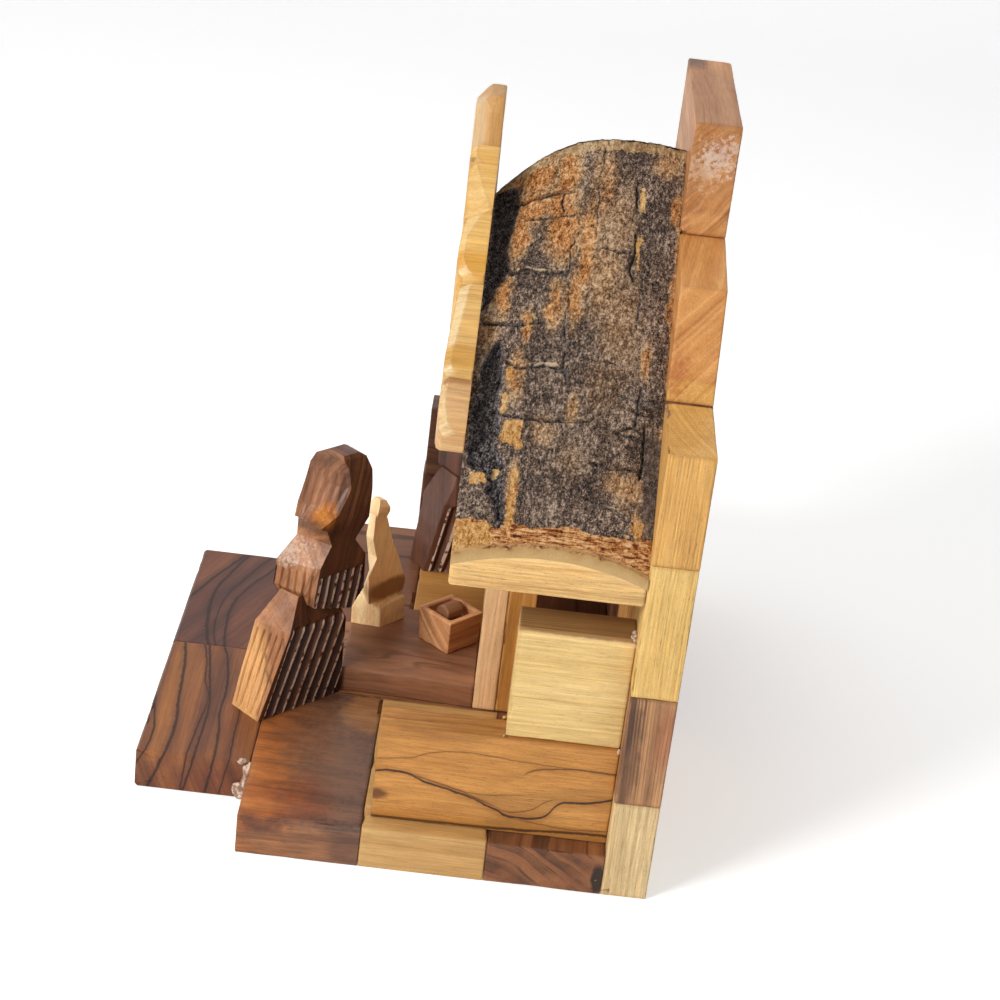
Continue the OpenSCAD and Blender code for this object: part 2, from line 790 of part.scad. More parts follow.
// The child is a bundle that lies in the manger's hollow, with a round head at one end
module swaddled_child() {
    bed_w = manger_w + 2 * manger_flare - 2 * manger_rim;
    bundle_l = bed_w - child_d / 2;
    color("#e2c08a") translate([manger_x, manger_y, platform_z + manger_h - hollow_depth])
        rotate([0, 0, turn]) translate([manger_rim - manger_flare, manger_rim - manger_flare + bed_w / 2, child_d / 2]) {
            intersection() {
                translate([child_d / 4, 0, 0]) rotate([0, 90, 0]) cylinder(d = child_d, h = bundle_l - child_d / 4);
                translate([0, -child_d, -child_d / 2]) cube([bed_w, 2 * child_d, child_d]);
            }
            translate([bundle_l, 0, 0]) sphere(d = child_d * bundle_head_share);
        }
}
bundle_head_share = 0.9;

base_front_right();
base_front_left();
base_centre();
base_right_front();
base_right_middle();
base_right_back();
base_left_front();
base_left_middle();
base_left_back();
platform();
right_sill();
left_sill();
right_wall();
left_wall();
right_post_front();
right_post_back();
left_post_front();
left_post_back();
board_right_foot();
board_right_dark();
board_right_pale();
board_right_shoulder();
board_left_foot();
board_left_dark();
board_left_pale();
board_left_shoulder();
board_panel_lower_right();
board_panel_lower_left();
board_panel_upper_right();
board_panel_upper_left();
board_tier_right();
board_tier_left();
board_peak();
roof_slab_right();
roof_slab_left();
roof_bark_right();
roof_bark_left();
fascia_peak();
fascia_right_top();
fascia_right_upper();
fascia_right_middle();
fascia_right_low();
fascia_left_top();
fascia_left_upper();
fascia_left_middle();
fascia_left_low();
standing_figure();
waiting_figure();
kneeling_figure();
manger();
swaddled_child();
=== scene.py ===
import math
import bmesh
import bpy
import numpy as np
from mathutils import Matrix, Vector, geometry


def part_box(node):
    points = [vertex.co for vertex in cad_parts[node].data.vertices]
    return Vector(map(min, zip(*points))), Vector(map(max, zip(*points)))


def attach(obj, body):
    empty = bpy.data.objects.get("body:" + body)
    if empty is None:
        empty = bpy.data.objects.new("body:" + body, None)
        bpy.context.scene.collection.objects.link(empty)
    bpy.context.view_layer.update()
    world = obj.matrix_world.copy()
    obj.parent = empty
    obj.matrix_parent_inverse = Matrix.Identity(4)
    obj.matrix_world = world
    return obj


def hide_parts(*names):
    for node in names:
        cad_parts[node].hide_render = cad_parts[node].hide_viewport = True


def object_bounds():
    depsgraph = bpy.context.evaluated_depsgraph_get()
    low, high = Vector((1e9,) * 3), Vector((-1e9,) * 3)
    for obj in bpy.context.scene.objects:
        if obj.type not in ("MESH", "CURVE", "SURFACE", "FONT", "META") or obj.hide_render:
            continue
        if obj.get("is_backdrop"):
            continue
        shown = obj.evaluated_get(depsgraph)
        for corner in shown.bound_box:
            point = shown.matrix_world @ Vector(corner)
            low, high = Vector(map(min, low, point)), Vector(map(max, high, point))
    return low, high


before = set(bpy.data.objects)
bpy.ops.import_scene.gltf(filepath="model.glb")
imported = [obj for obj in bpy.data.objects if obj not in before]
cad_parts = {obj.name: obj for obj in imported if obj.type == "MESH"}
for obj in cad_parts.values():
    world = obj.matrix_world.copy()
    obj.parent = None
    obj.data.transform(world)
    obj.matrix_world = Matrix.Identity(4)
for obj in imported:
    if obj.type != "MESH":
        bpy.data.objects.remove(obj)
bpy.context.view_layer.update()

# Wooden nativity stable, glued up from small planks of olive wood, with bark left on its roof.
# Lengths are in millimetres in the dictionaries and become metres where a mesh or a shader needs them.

mm = 0.001
root = "root"


# meshes
def readVectors(mesh, key):
    flat = np.empty(len(mesh.vertices) * 3)
    mesh.vertices.foreach_get(key, flat)
    return flat.reshape(-1, 3)


def nodePoints(node):
    # the node's own corners, in millimetres
    return readVectors(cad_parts[node].data, "co") / mm


def nodeBox(node):
    points = nodePoints(node)
    return points.min(axis=0), points.max(axis=0)


def seedOf(node):
    return sum(map(ord, node))


def linkObject(name, data):
    thing = bpy.data.objects.new(name, data)
    bpy.context.scene.collection.objects.link(thing)
    return thing


def placeMesh(name, mesh, material, node):
    # a finished mesh becomes an object that rides on the stable and stands for its node
    mesh.materials.clear()
    mesh.materials.append(material)
    piece = linkObject(name, mesh)
    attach(piece, root)
    if node:
        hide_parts(node)


def finishPiece(name, points, faces, material, node, sharpAngle=40, marks=None):
    # points in millimetres become a closed mesh whose faces look outwards
    mesh = bpy.data.meshes.new(name)
    mesh.from_pydata((np.asarray(points) * mm).tolist(), [], faces)
    form = bmesh.new()
    form.from_mesh(mesh)
    if form.calc_volume(signed=True) < 0:
        bmesh.ops.reverse_faces(form, faces=form.faces)
    form.to_mesh(mesh)
    form.free()
    for mark, values in (marks or {}).items():
        mesh.attributes.new(mark, "FLOAT", "POINT").data.foreach_set("value", np.asarray(values, dtype=np.float32))
    mesh.shade_smooth()
    mesh.set_sharp_from_angle(angle=math.radians(sharpAngle))
    placeMesh(name, mesh, material, node)


def tubeFaces(rows, columns, fans=False):
    # Quads round a stack of rings. Each end is closed by one face, or by a fan to a point of its own:
    # the low end's point comes right after the grid and the high end's point last.
    index = np.arange(rows * columns).reshape(rows, columns)
    after = np.roll(index, -1, axis=1)
    faces = np.stack([index[:-1], after[:-1], after[1:], index[1:]], axis=-1).reshape(-1, 4).tolist()
    if not fans:
        return faces + [index[0][::-1].tolist(), index[-1].tolist()]
    faces += [[b, a, rows * columns] for a, b in zip(index[0].tolist(), after[0].tolist())]
    return faces + [[a, b, rows * columns + 1] for a, b in zip(index[-1].tolist(), after[-1].tolist())]


def joined(parts):
    # several pairs of points and faces in one; the faces of each count on from the points before it
    points, faces = [], []
    for more, moreFaces in parts:
        start = sum(len(p) for p in points)
        points.append(more)
        faces += [[start + i for i in face] for face in moreFaces]
    return np.concatenate(points), faces


def waves(points, size, seed, count=7):
    # a smooth field between about -1 and 1: the mean of plane waves in random directions
    rng = np.random.default_rng(seed)
    turns = rng.normal(size=(count, 3)) / size * 2
    starts = rng.uniform(0, 2 * math.pi, count)
    return np.sin(points @ turns.T + starts).mean(axis=1) * 1.8


def easeIn(low, high, value):
    t = np.clip((value - low) / (high - low), 0, 1)
    return t * t * (3 - 2 * t)


def spread(length, near, gap):
    # places along a straight stretch: close together at both ends, wider apart between them
    steps = max(2, int(length / gap))
    inner = np.linspace(near, length - near, steps) if length > 3 * near else np.array([length / 2])
    return np.concatenate([[near * 0.4], inner, [length - near * 0.4]])


# Sawn blocks: the rounded edge and its steps, the rows of points near it and between, the waves of the
# sanded faces and their size, the nicks in the edges, theirs and the level of noise where they start,
# the rings on the end faces, and the share of the half size that counts as near an edge
blockShape = {"edge": 0.3, "arcSteps": 3, "near": 1.1, "gap": 2.6, "wobble": 0.07, "wobbleSize": 9,
              "nick": 0.35, "nickSize": 2.2, "nickFrom": 0.35, "capRings": (0.4, 1.1), "capInner": 3, "edgeBand": 0.28}


def blockOutline(node, axis, nearest=0.1, straight=0.02):
    # the outline that the node shows along an axis, counter-clockwise, corners nearer than a tenth merged
    across = [i for i in range(3) if i != axis]
    points = nodePoints(node)[:, across]
    hull = [points[i] for i in geometry.convex_hull_2d([tuple(p) for p in points])]
    kept = []
    for p in hull:
        if not kept or np.linalg.norm(p - kept[-1]) > nearest:
            kept.append(p)
    if np.linalg.norm(kept[0] - kept[-1]) <= nearest:
        kept.pop()
    corners = []
    for before, p, after in zip(kept[-1:] + kept[:-1], kept, kept[1:] + kept[:1]):
        a, b = p - before, after - p
        turn = abs(a[0] * b[1] - a[1] * b[0]) / (np.linalg.norm(a) * np.linalg.norm(b))
        if turn > straight:
            corners.append(p)
    corners = np.array(corners)
    x, y = corners.T
    area = np.sum(x * np.roll(y, -1) - y * np.roll(x, -1))
    return corners if area > 0 else corners[::-1]


def sawnBlock(node, material, axis=None):
    # A plank: its outline, rounded at the corners, is carried along the axis. Each ring is the inner
    # outline plus radius times cos(t) times the outward normal, and t turns the rings over each end.
    shape = blockShape
    low, high = nodeBox(node)
    if axis is None:
        axis = int(np.argmax(high - low))
    corners = blockOutline(node, axis)
    r, steps = shape["edge"], shape["arcSteps"]
    sides = np.roll(corners, -1, axis=0) - corners
    lengths = np.linalg.norm(sides, axis=1)
    normals = np.stack([sides[:, 1], -sides[:, 0]], axis=1) / lengths[:, None]
    before = np.roll(normals, 1, axis=0)
    inner = corners - r * (before + normals) / (1 + np.sum(before * normals, axis=1))[:, None]
    ringPoints, ringNormals, ringEdge = [], [], []
    for i in range(len(corners)):
        a0, a1 = (math.atan2(normal[i, 1], normal[i, 0]) for normal in (before, normals))
        a1 += 2 * math.pi if a1 < a0 else 0
        turn = np.linspace(a0, a1, steps + 1)
        run = inner[(i + 1) % len(corners)] - inner[i]
        length = np.linalg.norm(run)
        places = spread(length, shape["near"], shape["gap"])
        ringPoints += [np.repeat(inner[i][None], steps + 1, axis=0), inner[i] + run * (places / length)[:, None]]
        ringNormals += [np.stack([np.cos(turn), np.sin(turn)], axis=1),
                        np.repeat(normals[i][None], len(places), axis=0)]
        ringEdge += [np.ones(steps + 1), np.zeros(len(places))]
    ringPoints, ringNormals, ringEdge = map(np.concatenate, (ringPoints, ringNormals, ringEdge))
    middle = ringPoints.mean(axis=0)
    reach = np.linalg.norm(ringPoints - middle, axis=1).mean()
    caps = np.concatenate([shape["capRings"], np.arange(shape["capInner"], reach - 0.5, shape["gap"])]) / reach
    none = np.zeros(len(caps))
    turns = np.linspace(math.pi / 2, 0, steps + 1)
    between = spread(high[axis] - low[axis] - 2 * r, shape["near"], shape["gap"])
    # one row of these three per ring: how far it shrinks to the middle, how far it stands out, its place
    shrink = np.concatenate([caps[::-1], np.zeros(len(between) + 2 * len(turns)), caps])
    out = np.concatenate([none, np.cos(turns), np.ones(len(between)), np.cos(turns[::-1]), none])
    depth = np.concatenate([none + low[axis], low[axis] + r - r * np.sin(turns), low[axis] + r + between,
                            high[axis] - r + r * np.sin(turns[::-1]), none + high[axis]])
    flat = (ringPoints[None] + (middle - ringPoints)[None] * shrink[:, None, None]
            + ringNormals[None] * r * out[:, None, None])
    rows, columns = flat.shape[:2]
    across = [i for i in range(3) if i != axis]
    points = np.empty((rows, columns, 3))
    points[..., across] = flat
    points[..., axis] = depth[:, None]
    edge = np.maximum(ringEdge[None] * (out[:, None] > 0.01), ((out > 0.01) & (out < 0.99))[:, None] * 1.0)
    ends = np.zeros((2, 3))
    ends[:, across] = middle
    ends[:, axis] = low[axis], high[axis]
    points = np.concatenate([points.reshape(-1, 3), ends])
    edge = np.concatenate([edge.reshape(-1), [0, 0]])
    faces = tubeFaces(rows, columns, fans=True)
    if axis == 1:
        faces = [face[::-1] for face in faces]
    points = weather(points, edge, low, high, seedOf(node))
    finishPiece(node + "_wood", points, faces, material, node, marks={"edge": edge})


def weather(points, edge, low, high, seed):
    # hand-sanded faces wave a little, edges are nicked where a random field is high; all moves go inwards
    shape = blockShape
    reach = (points - (low + high) / 2) / ((high - low) / 2)
    pull = shape["wobble"] * (1 + waves(points, shape["wobbleSize"], seed)) * 0.5
    chip = np.clip(waves(points, shape["nickSize"], seed + 1) - shape["nickFrom"], 0, 1) ** 1.5 * 2
    chip = shape["nick"] * edge * chip
    strength = np.clip((np.abs(reach) - (1 - shape["edgeBand"])) / shape["edgeBand"], 0, 1)
    return points - np.sign(reach) * strength * (pull + chip)[:, None]


def wornCopy(node, material, voxel):
    # a carved or bevelled piece: its solid is rebuilt in small voxels, smoothed and waved a little
    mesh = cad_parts[node].data.copy()
    form = bmesh.new()
    form.from_mesh(mesh)
    bmesh.ops.remove_doubles(form, verts=form.verts, dist=1e-6)
    form.to_mesh(mesh)
    form.free()
    rough = linkObject(node + "_rough", mesh)
    remesh = rough.modifiers.new("voxels", "REMESH")
    remesh.mode = "VOXEL"
    remesh.voxel_size = voxel * mm
    soften = rough.modifiers.new("soften", "SMOOTH")
    soften.factor = 0.5
    soften.iterations = 1
    fine = bpy.data.meshes.new_from_object(rough.evaluated_get(bpy.context.evaluated_depsgraph_get()))
    bpy.data.objects.remove(rough)
    points = readVectors(fine, "co") / mm
    pull = blockShape["wobble"] * (1 + waves(points, blockShape["wobbleSize"], seedOf(node))) * 0.5
    points = points - readVectors(fine, "normal") * pull[:, None]
    fine.vertices.foreach_set("co", (points * mm).ravel())
    fine.update()
    fine.shade_smooth()
    placeMesh(node + "_carved", fine, material, node)


# The roof is two wedges of a round log. The slope frame starts at the ridge, above the log's crown; the
# front corner of each eave drops away.
roofShape = {"pitch": 41.0, "logRadius": 70.0, "crownBack": 10.0, "crownTurn": 6.0, "eaveHeight": 12.5,
             "bark": 3.2, "cornerDrop": 9.0, "dropEnd": 27.0, "dropWidth": 20.0, "dropRun": 34.0, "rounds": 6}


def roofFrame():
    # the pitch and the crown's turn in radians, the board's front and the height of the ridge in mm
    low, high = (np.array(corner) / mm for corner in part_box("roof_slab_right"))
    pitch, turn = math.radians(roofShape["pitch"]), math.radians(roofShape["crownTurn"])
    return pitch, turn, high[1], low[2] + roofShape["eaveHeight"] + high[0] * math.tan(pitch)


def roofPlace(x, y, inset=0.0):
    # The height of the log's round outside over a place on the roof. Out of the slope frame the surface
    # stands at sqrt((R - inset)^2 - off^2) - R, and a few rounds follow the slope down until x is met.
    shape = roofShape
    pitch, turn, boardY, ridgeZ = roofFrame()
    out = np.zeros_like(x + y)
    for _ in range(shape["rounds"]):
        along = (x - out * math.sin(pitch)) / math.cos(pitch)
        off = along * math.sin(turn) + (y - boardY + shape["crownBack"]) * math.cos(turn)
        out = np.sqrt((shape["logRadius"] - inset) ** 2 - off ** 2) - shape["logRadius"]
    near = np.clip((shape["dropEnd"] - y) / shape["dropWidth"], 0, 1) ** 2
    far = np.clip(1 - along / shape["dropRun"], 0, 1) ** 1.3
    z = ridgeZ - along * math.sin(pitch) + out * math.cos(pitch) - shape["cornerDrop"] * near * far
    return along, z


def logAxis(side):
    # the axis of the log that a roof slab was sawn from: a direction and a point, in mm
    pitch, turn, boardY, ridgeZ = roofFrame()
    flip = -1 if side == "left" else 1
    along = (flip * math.cos(turn) * math.cos(pitch), -math.sin(turn), -math.cos(turn) * math.sin(pitch))
    point = (-flip * roofShape["logRadius"] * math.sin(pitch), boardY - roofShape["crownBack"],
             ridgeZ - roofShape["logRadius"] * math.cos(pitch))
    return along, point


def lattice(x, y, size, seed):
    # value noise between 0 and 1: random heights on a square lattice, joined by smooth steps
    table = np.random.default_rng(seed).random((128, 128))
    gx, gy = x / size, y / size
    ix, iy = np.floor(gx).astype(int), np.floor(gy).astype(int)
    fx, fy = gx - ix, gy - iy
    fx, fy = fx * fx * (3 - 2 * fx), fy * fy * (3 - 2 * fy)

    def at(i, j):
        return table[(iy + j) % 128, (ix + i) % 128]
    return (at(0, 0) * (1 - fx) + at(1, 0) * fx) * (1 - fy) + (at(0, 1) * (1 - fx) + at(1, 1) * fx) * fy


def fractal(x, y, size, octaves, seed, fade=0.55):
    # the mean of lattices, each half the size of the one before, between about -1 and 1
    total, weight = np.zeros_like(x), 0.0
    for i in range(octaves):
        total += (lattice(x + 17 * i, y + 31 * i, size / 2 ** i, seed + i) - 0.5) * fade ** i
        weight += 0.5 * fade ** i
    return total / weight


# The bark's marks, in millimetres: s down the slope from the ridge, y to the back. Furrows have a left
# and a right edge over s. A crack has its places, its offsets, its width at both ends, its depth and,
# across the slope, how light its lip is: cracks run across (s over y) or down (y over s). Chips are
# rectangles with a depth. Rust is ellipses: s, y, half length, half width, strength. The bark ends along
# the edge and the ridge, and the plate is the smooth corner that starts at its s and y.
barkMarks = {
    "furrows": [
        {"s": (6, 8, 11, 14, 18, 23, 28, 32, 35, 38, 42), "left": (7, 7, 7, 7, 7, 7, 7, 7, 7, 7, 7),
         "right": (8, 11.4, 12, 12.4, 12.2, 11.5, 11.2, 11.6, 10.6, 9.2, 7.4), "depth": 2.2},
        {"s": (48, 50, 54, 60, 64, 68, 72, 76, 78.5), "left": (11.4, 10.4, 8.6, 8.2, 8.0, 8.0, 7.8, 8.0, 12.0),
         "right": (11.8, 12.4, 13.0, 12.9, 13.5, 13.5, 13.3, 15.0, 14.6), "depth": 2.4},
        {"s": (76, 78, 82, 86, 89, 95), "left": (12.4, 12.2, 12.6, 14.0, 15.0, 16.2),
         "right": (15.2, 15.5, 16.0, 16.5, 17.1, 18.0), "depth": 2.2}],
    "across": [
        ((11, 14, 17, 20, 23.5), (13.4, 13.8, 13.4, 13.3, 13.2), (1.3, 0.25), 1.7, 0.5),
        ((13, 18, 24), (18.8, 19.2, 18.9), (0.2, 0.15), 0.5, 0.2),
        ((12, 16, 20, 23.6), (32.9, 32.3, 32.4, 32.2), (0.5, 0.28), 1.2, 1.0),
        ((7.2, 12, 16, 20), (44.4, 45.0, 44.8, 44.3), (0.5, 0.22), 1.0, 0.4),
        ((13.2, 16, 20, 24.8), (53.2, 54.4, 54.3, 54.2), (0.5, 0.32), 1.2, 1.0),
        ((12.8, 16, 22, 27, 31), (64.6, 65.3, 65.9, 65.8, 65.5), (0.8, 0.16), 1.4, 0.3),
        ((29.5, 33, 36.5), (26.3, 26.8, 26.2), (0.15, 0.15), 0.4, 0.5),
        ((36, 40, 44), (58.8, 58.9, 58.5), (0.18, 0.18), 0.5, 0.4),
        ((38.5, 42, 46), (61.6, 62.0, 62.5), (0.25, 0.4), 0.9, 0.2),
        ((36.2, 39, 42.4), (66.8, 67.1, 67.6), (0.3, 0.5), 1.2, 0.5),
        ((36.2, 39, 42.4), (66.6, 65.2, 65.8), (0.2, 0.25), 0.8, 0.1),
        ((32, 37, 41, 44, 46), (74.1, 74.5, 74.3, 76.2, 77.8), (0.18, 0.4), 0.9, 0.3),
        ((17, 22, 28), (78.0, 78.3, 77.6), (0.14, 0.1), 0.4, 0.1),
        ((30, 34, 38, 42), (81.0, 82.7, 84.0, 85.4), (0.14, 0.2), 0.5, 0.2),
        ((24, 30, 36), (48.2, 51.0, 52.4), (0.12, 0.16), 0.4, 0.1)],
    "down": [
        ((13.5, 16, 18.6), (21.3, 21.4, 21.6), (0.3, 0.25), 0.9),
        ((24, 28, 32.2), (24.2, 24.0, 24.0), (0.12, 0.3), 0.7),
        ((9.5, 12, 16.2), (36.1, 36.3, 36.2), (0.3, 0.5), 1.2),
        ((21.5, 26, 30, 33), (36.8, 36.8, 36.2, 36.6), (0.5, 0.4), 1.3),
        ((50, 54, 57), (24.4, 25.0, 25.8), (0.4, 0.2), 0.9), ((56, 60, 65), (40.3, 40.1, 39.9), (0.15, 0.25), 0.7),
        ((64.5, 70, 76), (42.0, 42.3, 42.1), (0.5, 0.35), 1.4), ((30, 36, 44), (38.3, 38.6, 38.4), (0.15, 0.1), 0.4),
        ((36, 44, 52), (24.1, 24.4, 24.2), (0.1, 0.12), 0.4), ((2, 12, 24), (28.6, 28.4, 28.8), (0.12, 0.1), 0.35)],
    "chips": [
        ((66.3, 71.8), (14.0, 18.2), 1.0), ((88.2, 96.0), (6.0, 14.4), 1.6), ((77.2, 80.8), (8.8, 12.0), 0.5),
        ((77.0, 90.0), (16.5, 17.9), 0.9), ((10.4, 16.2), (36.5, 38.1), 0.7), ((21.8, 30.6), (36.9, 38.1), 0.6),
        ((60.6, 65.0), (13.0, 14.2), 0.5), ((55.0, 57.4), (13.6, 14.6), 0.4), ((44.0, 46.6), (16.2, 17.2), 0.2),
        ((84.6, 88.0), (41.6, 43.4), 0.3)],
    "rust": [
        (8, 16, 6, 3.4, 0.9), (16, 15, 5, 3.6, 0.95), (16, 20, 5, 3, 0.9), (9, 22, 8, 2.8, 0.85),
        (22, 13, 8, 2.0, 1.0), (22, 22, 8, 3.6, 0.95), (24, 27, 9, 2.2, 0.8), (30, 27, 8, 1.8, 0.85),
        (12, 29, 11, 3, 0.5), (38, 25.6, 7, 2.0, 0.75), (40, 21.5, 5, 2.0, 0.75), (45, 16.6, 3.4, 1.3, 0.9),
        (20, 33, 11, 4, 0.35), (32, 31, 13, 4, 0.42), (42, 35, 14, 5, 0.32), (57, 15.6, 6, 1.6, 0.65),
        (63, 27.5, 3.4, 1.3, 0.55), (68, 22, 3, 3, 0.35), (50, 40.7, 4, 1.3, 0.7), (78, 39, 4, 4, 0.45),
        (86, 42.4, 2.6, 1.8, 0.85), (4, 42, 5, 3, 0.5), (15, 44.4, 3.4, 1.4, 0.9), (38, 11.2, 5, 1.7, 0.9),
        (6, 12, 4, 3, 0.7), (46, 9.5, 5, 2.5, 0.45), (83, 17.2, 7, 1.3, 0.9), (30, 45.2, 22, 0.8, 0.7),
        (62, 45.6, 18, 0.6, 0.6), (74, 28, 5, 4, 0.2), (56, 33, 8, 5, 0.22)],
    "edge": {"y": (6, 10, 13, 15, 17, 19, 22, 25, 28, 31, 34, 37, 40, 43, 46), "bare": 1.9,
             "s": (88, 87.6, 88, 90, 87, 88.6, 88.9, 88.3, 87.6, 88.2, 88.7, 89, 88.8, 88.1, 87.4)},
    "ridge": {"y": (6, 12, 20, 30, 38, 46), "s": (9, 6.4, 4.4, 3.2, 2.8, 3.0)},
    "plate": {"s": 66, "y": 42.4}}

# how far the marks wander, and how soft a crack's rims are; a lip's distance, height and lightness
reliefShape = {"wander": 0.55, "rim": 0.19, "lipAway": 0.36, "lipHeight": 0.22, "lipLight": 1.25}


def barkRelief(s, y, seed):
    # The bark's height over the log's round outside, never above it, and the masks for its colours
    marks, shape = barkMarks, reliefShape
    wander, wander2 = (fractal(s, y, 3.0, 4, seed + more) * shape["wander"] for more in (0, 40))
    fine = fractal(s, y, 0.9, 3, seed + 80, 0.7)
    coarse = fractal(s * 0.7, y, 5.0, 4, seed + 120)
    streaks = fractal(s * 0.4, y * 1.2, 0.9, 3, seed + 280, 0.7)
    height = -0.5 + 0.24 * fine + 0.26 * coarse + 0.2 * streaks
    hollowBlackAndGlint, light, ochre, rust = (np.zeros_like(s) for _ in range(4))
    bumps = np.abs(fractal(s, y, 1.4, 3, seed + 160, 0.8))
    for furrow in marks["furrows"]:
        left = np.interp(s, furrow["s"], furrow["left"]) + wander * 1.8 + 0.3 * fine
        right = np.interp(s, furrow["s"], furrow["right"]) + wander2 * 1.8 + 0.3 * fine
        inside = np.minimum(y - left, right - y)
        inside = np.where((s > furrow["s"][0]) & (s < furrow["s"][-1]), inside, -1)
        deep = easeIn(-0.1, 0.9, inside)
        height = height - deep * (furrow["depth"] * 0.9 - 2.2 * bumps + 0.4 * coarse - 0.8 * fine)
        hollowBlackAndGlint = np.maximum(hollowBlackAndGlint, easeIn(-0.35, 0.5, inside))
    cracks = [(True, *crack) for crack in marks["across"]] + [(False, *crack, 0) for crack in marks["down"]]
    for across, knots, line, widths, depth, lipLight in cracks:
        run, offset = (y, s) if across else (s, y)
        centre = np.interp(run, knots, line) + (wander if across else wander2) * 1.3
        width = np.interp(run, (knots[0], knots[-1]), widths) * (0.55 + 0.9 * fine)
        opened = easeIn(-0.4, 0.8, np.minimum(run - knots[0], knots[-1] - run))
        opened = opened * easeIn(-0.9, -0.1, coarse + fine * 0.4)
        gap = easeIn(1, 0.2, np.abs(offset - centre) / (np.maximum(width, 0.02) + shape["rim"])) * opened
        height = height - gap * depth
        hollowBlackAndGlint = np.maximum(hollowBlackAndGlint, gap * 0.9)
        if across:
            lip = easeIn(0.5, 0.1, np.abs(offset - centre + width + shape["lipAway"])) * opened
            lip = lip * easeIn(-0.6, 0.2, fine + streaks)
            height = height + shape["lipHeight"] * lip
            light = np.maximum(light, lip * min(1.0, lipLight * shape["lipLight"]))
    for sides, ends, depth in marks["chips"]:
        inside = np.minimum(np.minimum(s - sides[0], sides[1] - s) + wander * 3.2,
                            np.minimum(y - ends[0], ends[1] - y) + wander2 * 1.8) + 0.25 * fine
        bare = easeIn(-0.15, 0.3, inside)
        fibres = fractal(s * 0.35, y * 2.2, 0.8, 3, seed + 200)
        height = height * (1 - bare) + (-depth + 0.16 * fibres) * bare
        ochre = np.maximum(ochre, bare)
        hollowBlackAndGlint = hollowBlackAndGlint * (1 - bare)
    for place, across, half, halfAcross, strength in marks["rust"]:
        far = np.hypot((s - place + wander * 4) / half, (y - across + wander2 * 2.4) / halfAcross)
        rust = np.maximum(rust, strength * easeIn(1.6, 0.2, far))
    ridge = easeIn(0.5, -0.5, s - np.interp(y, marks["ridge"]["y"], marks["ridge"]["s"]) + wander * 2.2)
    edge = marks["edge"]
    beyond = s - np.interp(y, edge["y"], edge["s"]) + wander * 1.6 + fine * 0.25
    inner = easeIn(-0.1, 0.2, beyond)
    lip = easeIn(-1.3, -0.2, beyond) * (1 - inner)
    light = np.maximum(light, lip * 0.75 * easeIn(-0.1, 0.5, fine + coarse * 0.5))
    torn = fractal(s * 1.3, y * 0.8, 0.9, 3, seed + 240)
    height = height * (1 - inner) + inner * (-edge["bare"] * (0.6 + 0.12 * beyond) + 0.3 * torn)
    hollowBlackAndGlint = hollowBlackAndGlint * (1 - inner * 0.8)
    plate = easeIn(0.0, 0.5, np.minimum(s - marks["plate"]["s"], y - marks["plate"]["y"])) * (1 - inner)
    height = height * (1 - 0.6 * plate) - 0.3 * plate
    return np.minimum(height, 0.05), {"hollowBlackAndGlint": hollowBlackAndGlint, "light": light, "ochre": ochre, "rust": rust,
                                      "ridge": ridge, "inner": inner, "plate": plate}


# the grid over one slope, how far its rim sinks first and then under the rind, and the hidden turn inwards
sheetShape = {"rows": 440, "columns": 186, "rim": 0.2, "under": 0.05, "hidden": 0.6}


def barkSheet(side, material, seed):
    # a grid over the roof from ridge to eave and front to back, with a skirt and a flat underside
    shape, rows, columns = sheetShape, sheetShape["rows"], sheetShape["columns"]
    node = "roof_bark_" + side
    low, high = nodeBox(node)
    width = max(abs(low[0]), abs(high[0]))
    x, y = np.meshgrid(np.linspace(0, width, rows), np.linspace(low[1], high[1], columns), indexing="ij")
    s, z = roofPlace(x, y)
    flip = side == "left"       # the other slope carries the same marks turned back to front
    height, marks = barkRelief(s, low[1] + high[1] - y if flip else y, seed)
    pitch = math.radians(roofShape["pitch"])
    top = np.stack([x + height * math.sin(pitch), y, z + height * math.cos(pitch)], axis=-1)
    top[0, :, 0] = 0
    top[..., 0] = np.clip(top[..., 0], 0, width)
    index = np.arange(rows * columns).reshape(rows, columns)
    rim = np.concatenate([index[0, :-1], index[:-1, -1], index[-1, :0:-1], index[:0:-1, 0]])
    points = top.reshape(-1, 3)
    skirt = points[rim] - np.array([0, 0, shape["rim"]])
    bottom = points[rim].copy()
    eave = slice(rows + columns - 2, rows + 2 * columns - 2)
    skirt[eave, 0] = bottom[eave, 0] = width
    bottom[:, 2] = roofPlace(bottom[:, 0], bottom[:, 1], roofShape["bark"] + shape["under"])[1]
    hidden = bottom.copy()
    hidden[:, 0] = np.minimum(hidden[:, 0], width - shape["hidden"])
    count, total = len(rim), rows * columns
    first, outer, second = (total + i * count + np.arange(count) for i in range(3))
    quads = [np.stack([index[:-1, :-1], index[1:, :-1], index[1:, 1:], index[:-1, 1:]], axis=-1).reshape(-1, 4)]
    for upper, lower in ((rim, first), (first, outer), (outer, second)):
        quads.append(np.stack([upper, np.roll(upper, -1), np.roll(lower, -1), lower], axis=-1))
    ridgeEnd = second[:columns]
    backSide = second[columns - 1:columns + rows - 1]
    eaveEnd = second[columns + rows - 2:2 * columns + rows - 2]
    frontSide = np.concatenate([second[2 * columns + rows - 3:], second[:1]])[::-1]
    quads.append(np.stack([frontSide[:-1], backSide[:-1], backSide[1:], frontSide[1:]], axis=-1))
    points = np.concatenate([points, skirt, bottom, hidden])
    faces = np.concatenate(quads).tolist() + [ridgeEnd[::-1].tolist(), eaveEnd[::-1].tolist()]
    marks = {key: np.concatenate([value.reshape(-1), np.zeros(3 * count)]) for key, value in marks.items()}
    marks["side"] = np.concatenate([np.zeros(total), np.ones(3 * count)])
    if flip:
        points = points * np.array([-1, 1, 1])
        faces = [face[::-1] for face in faces]
    finishPiece(node + "_rind", points, faces, material, node, 60, marks)


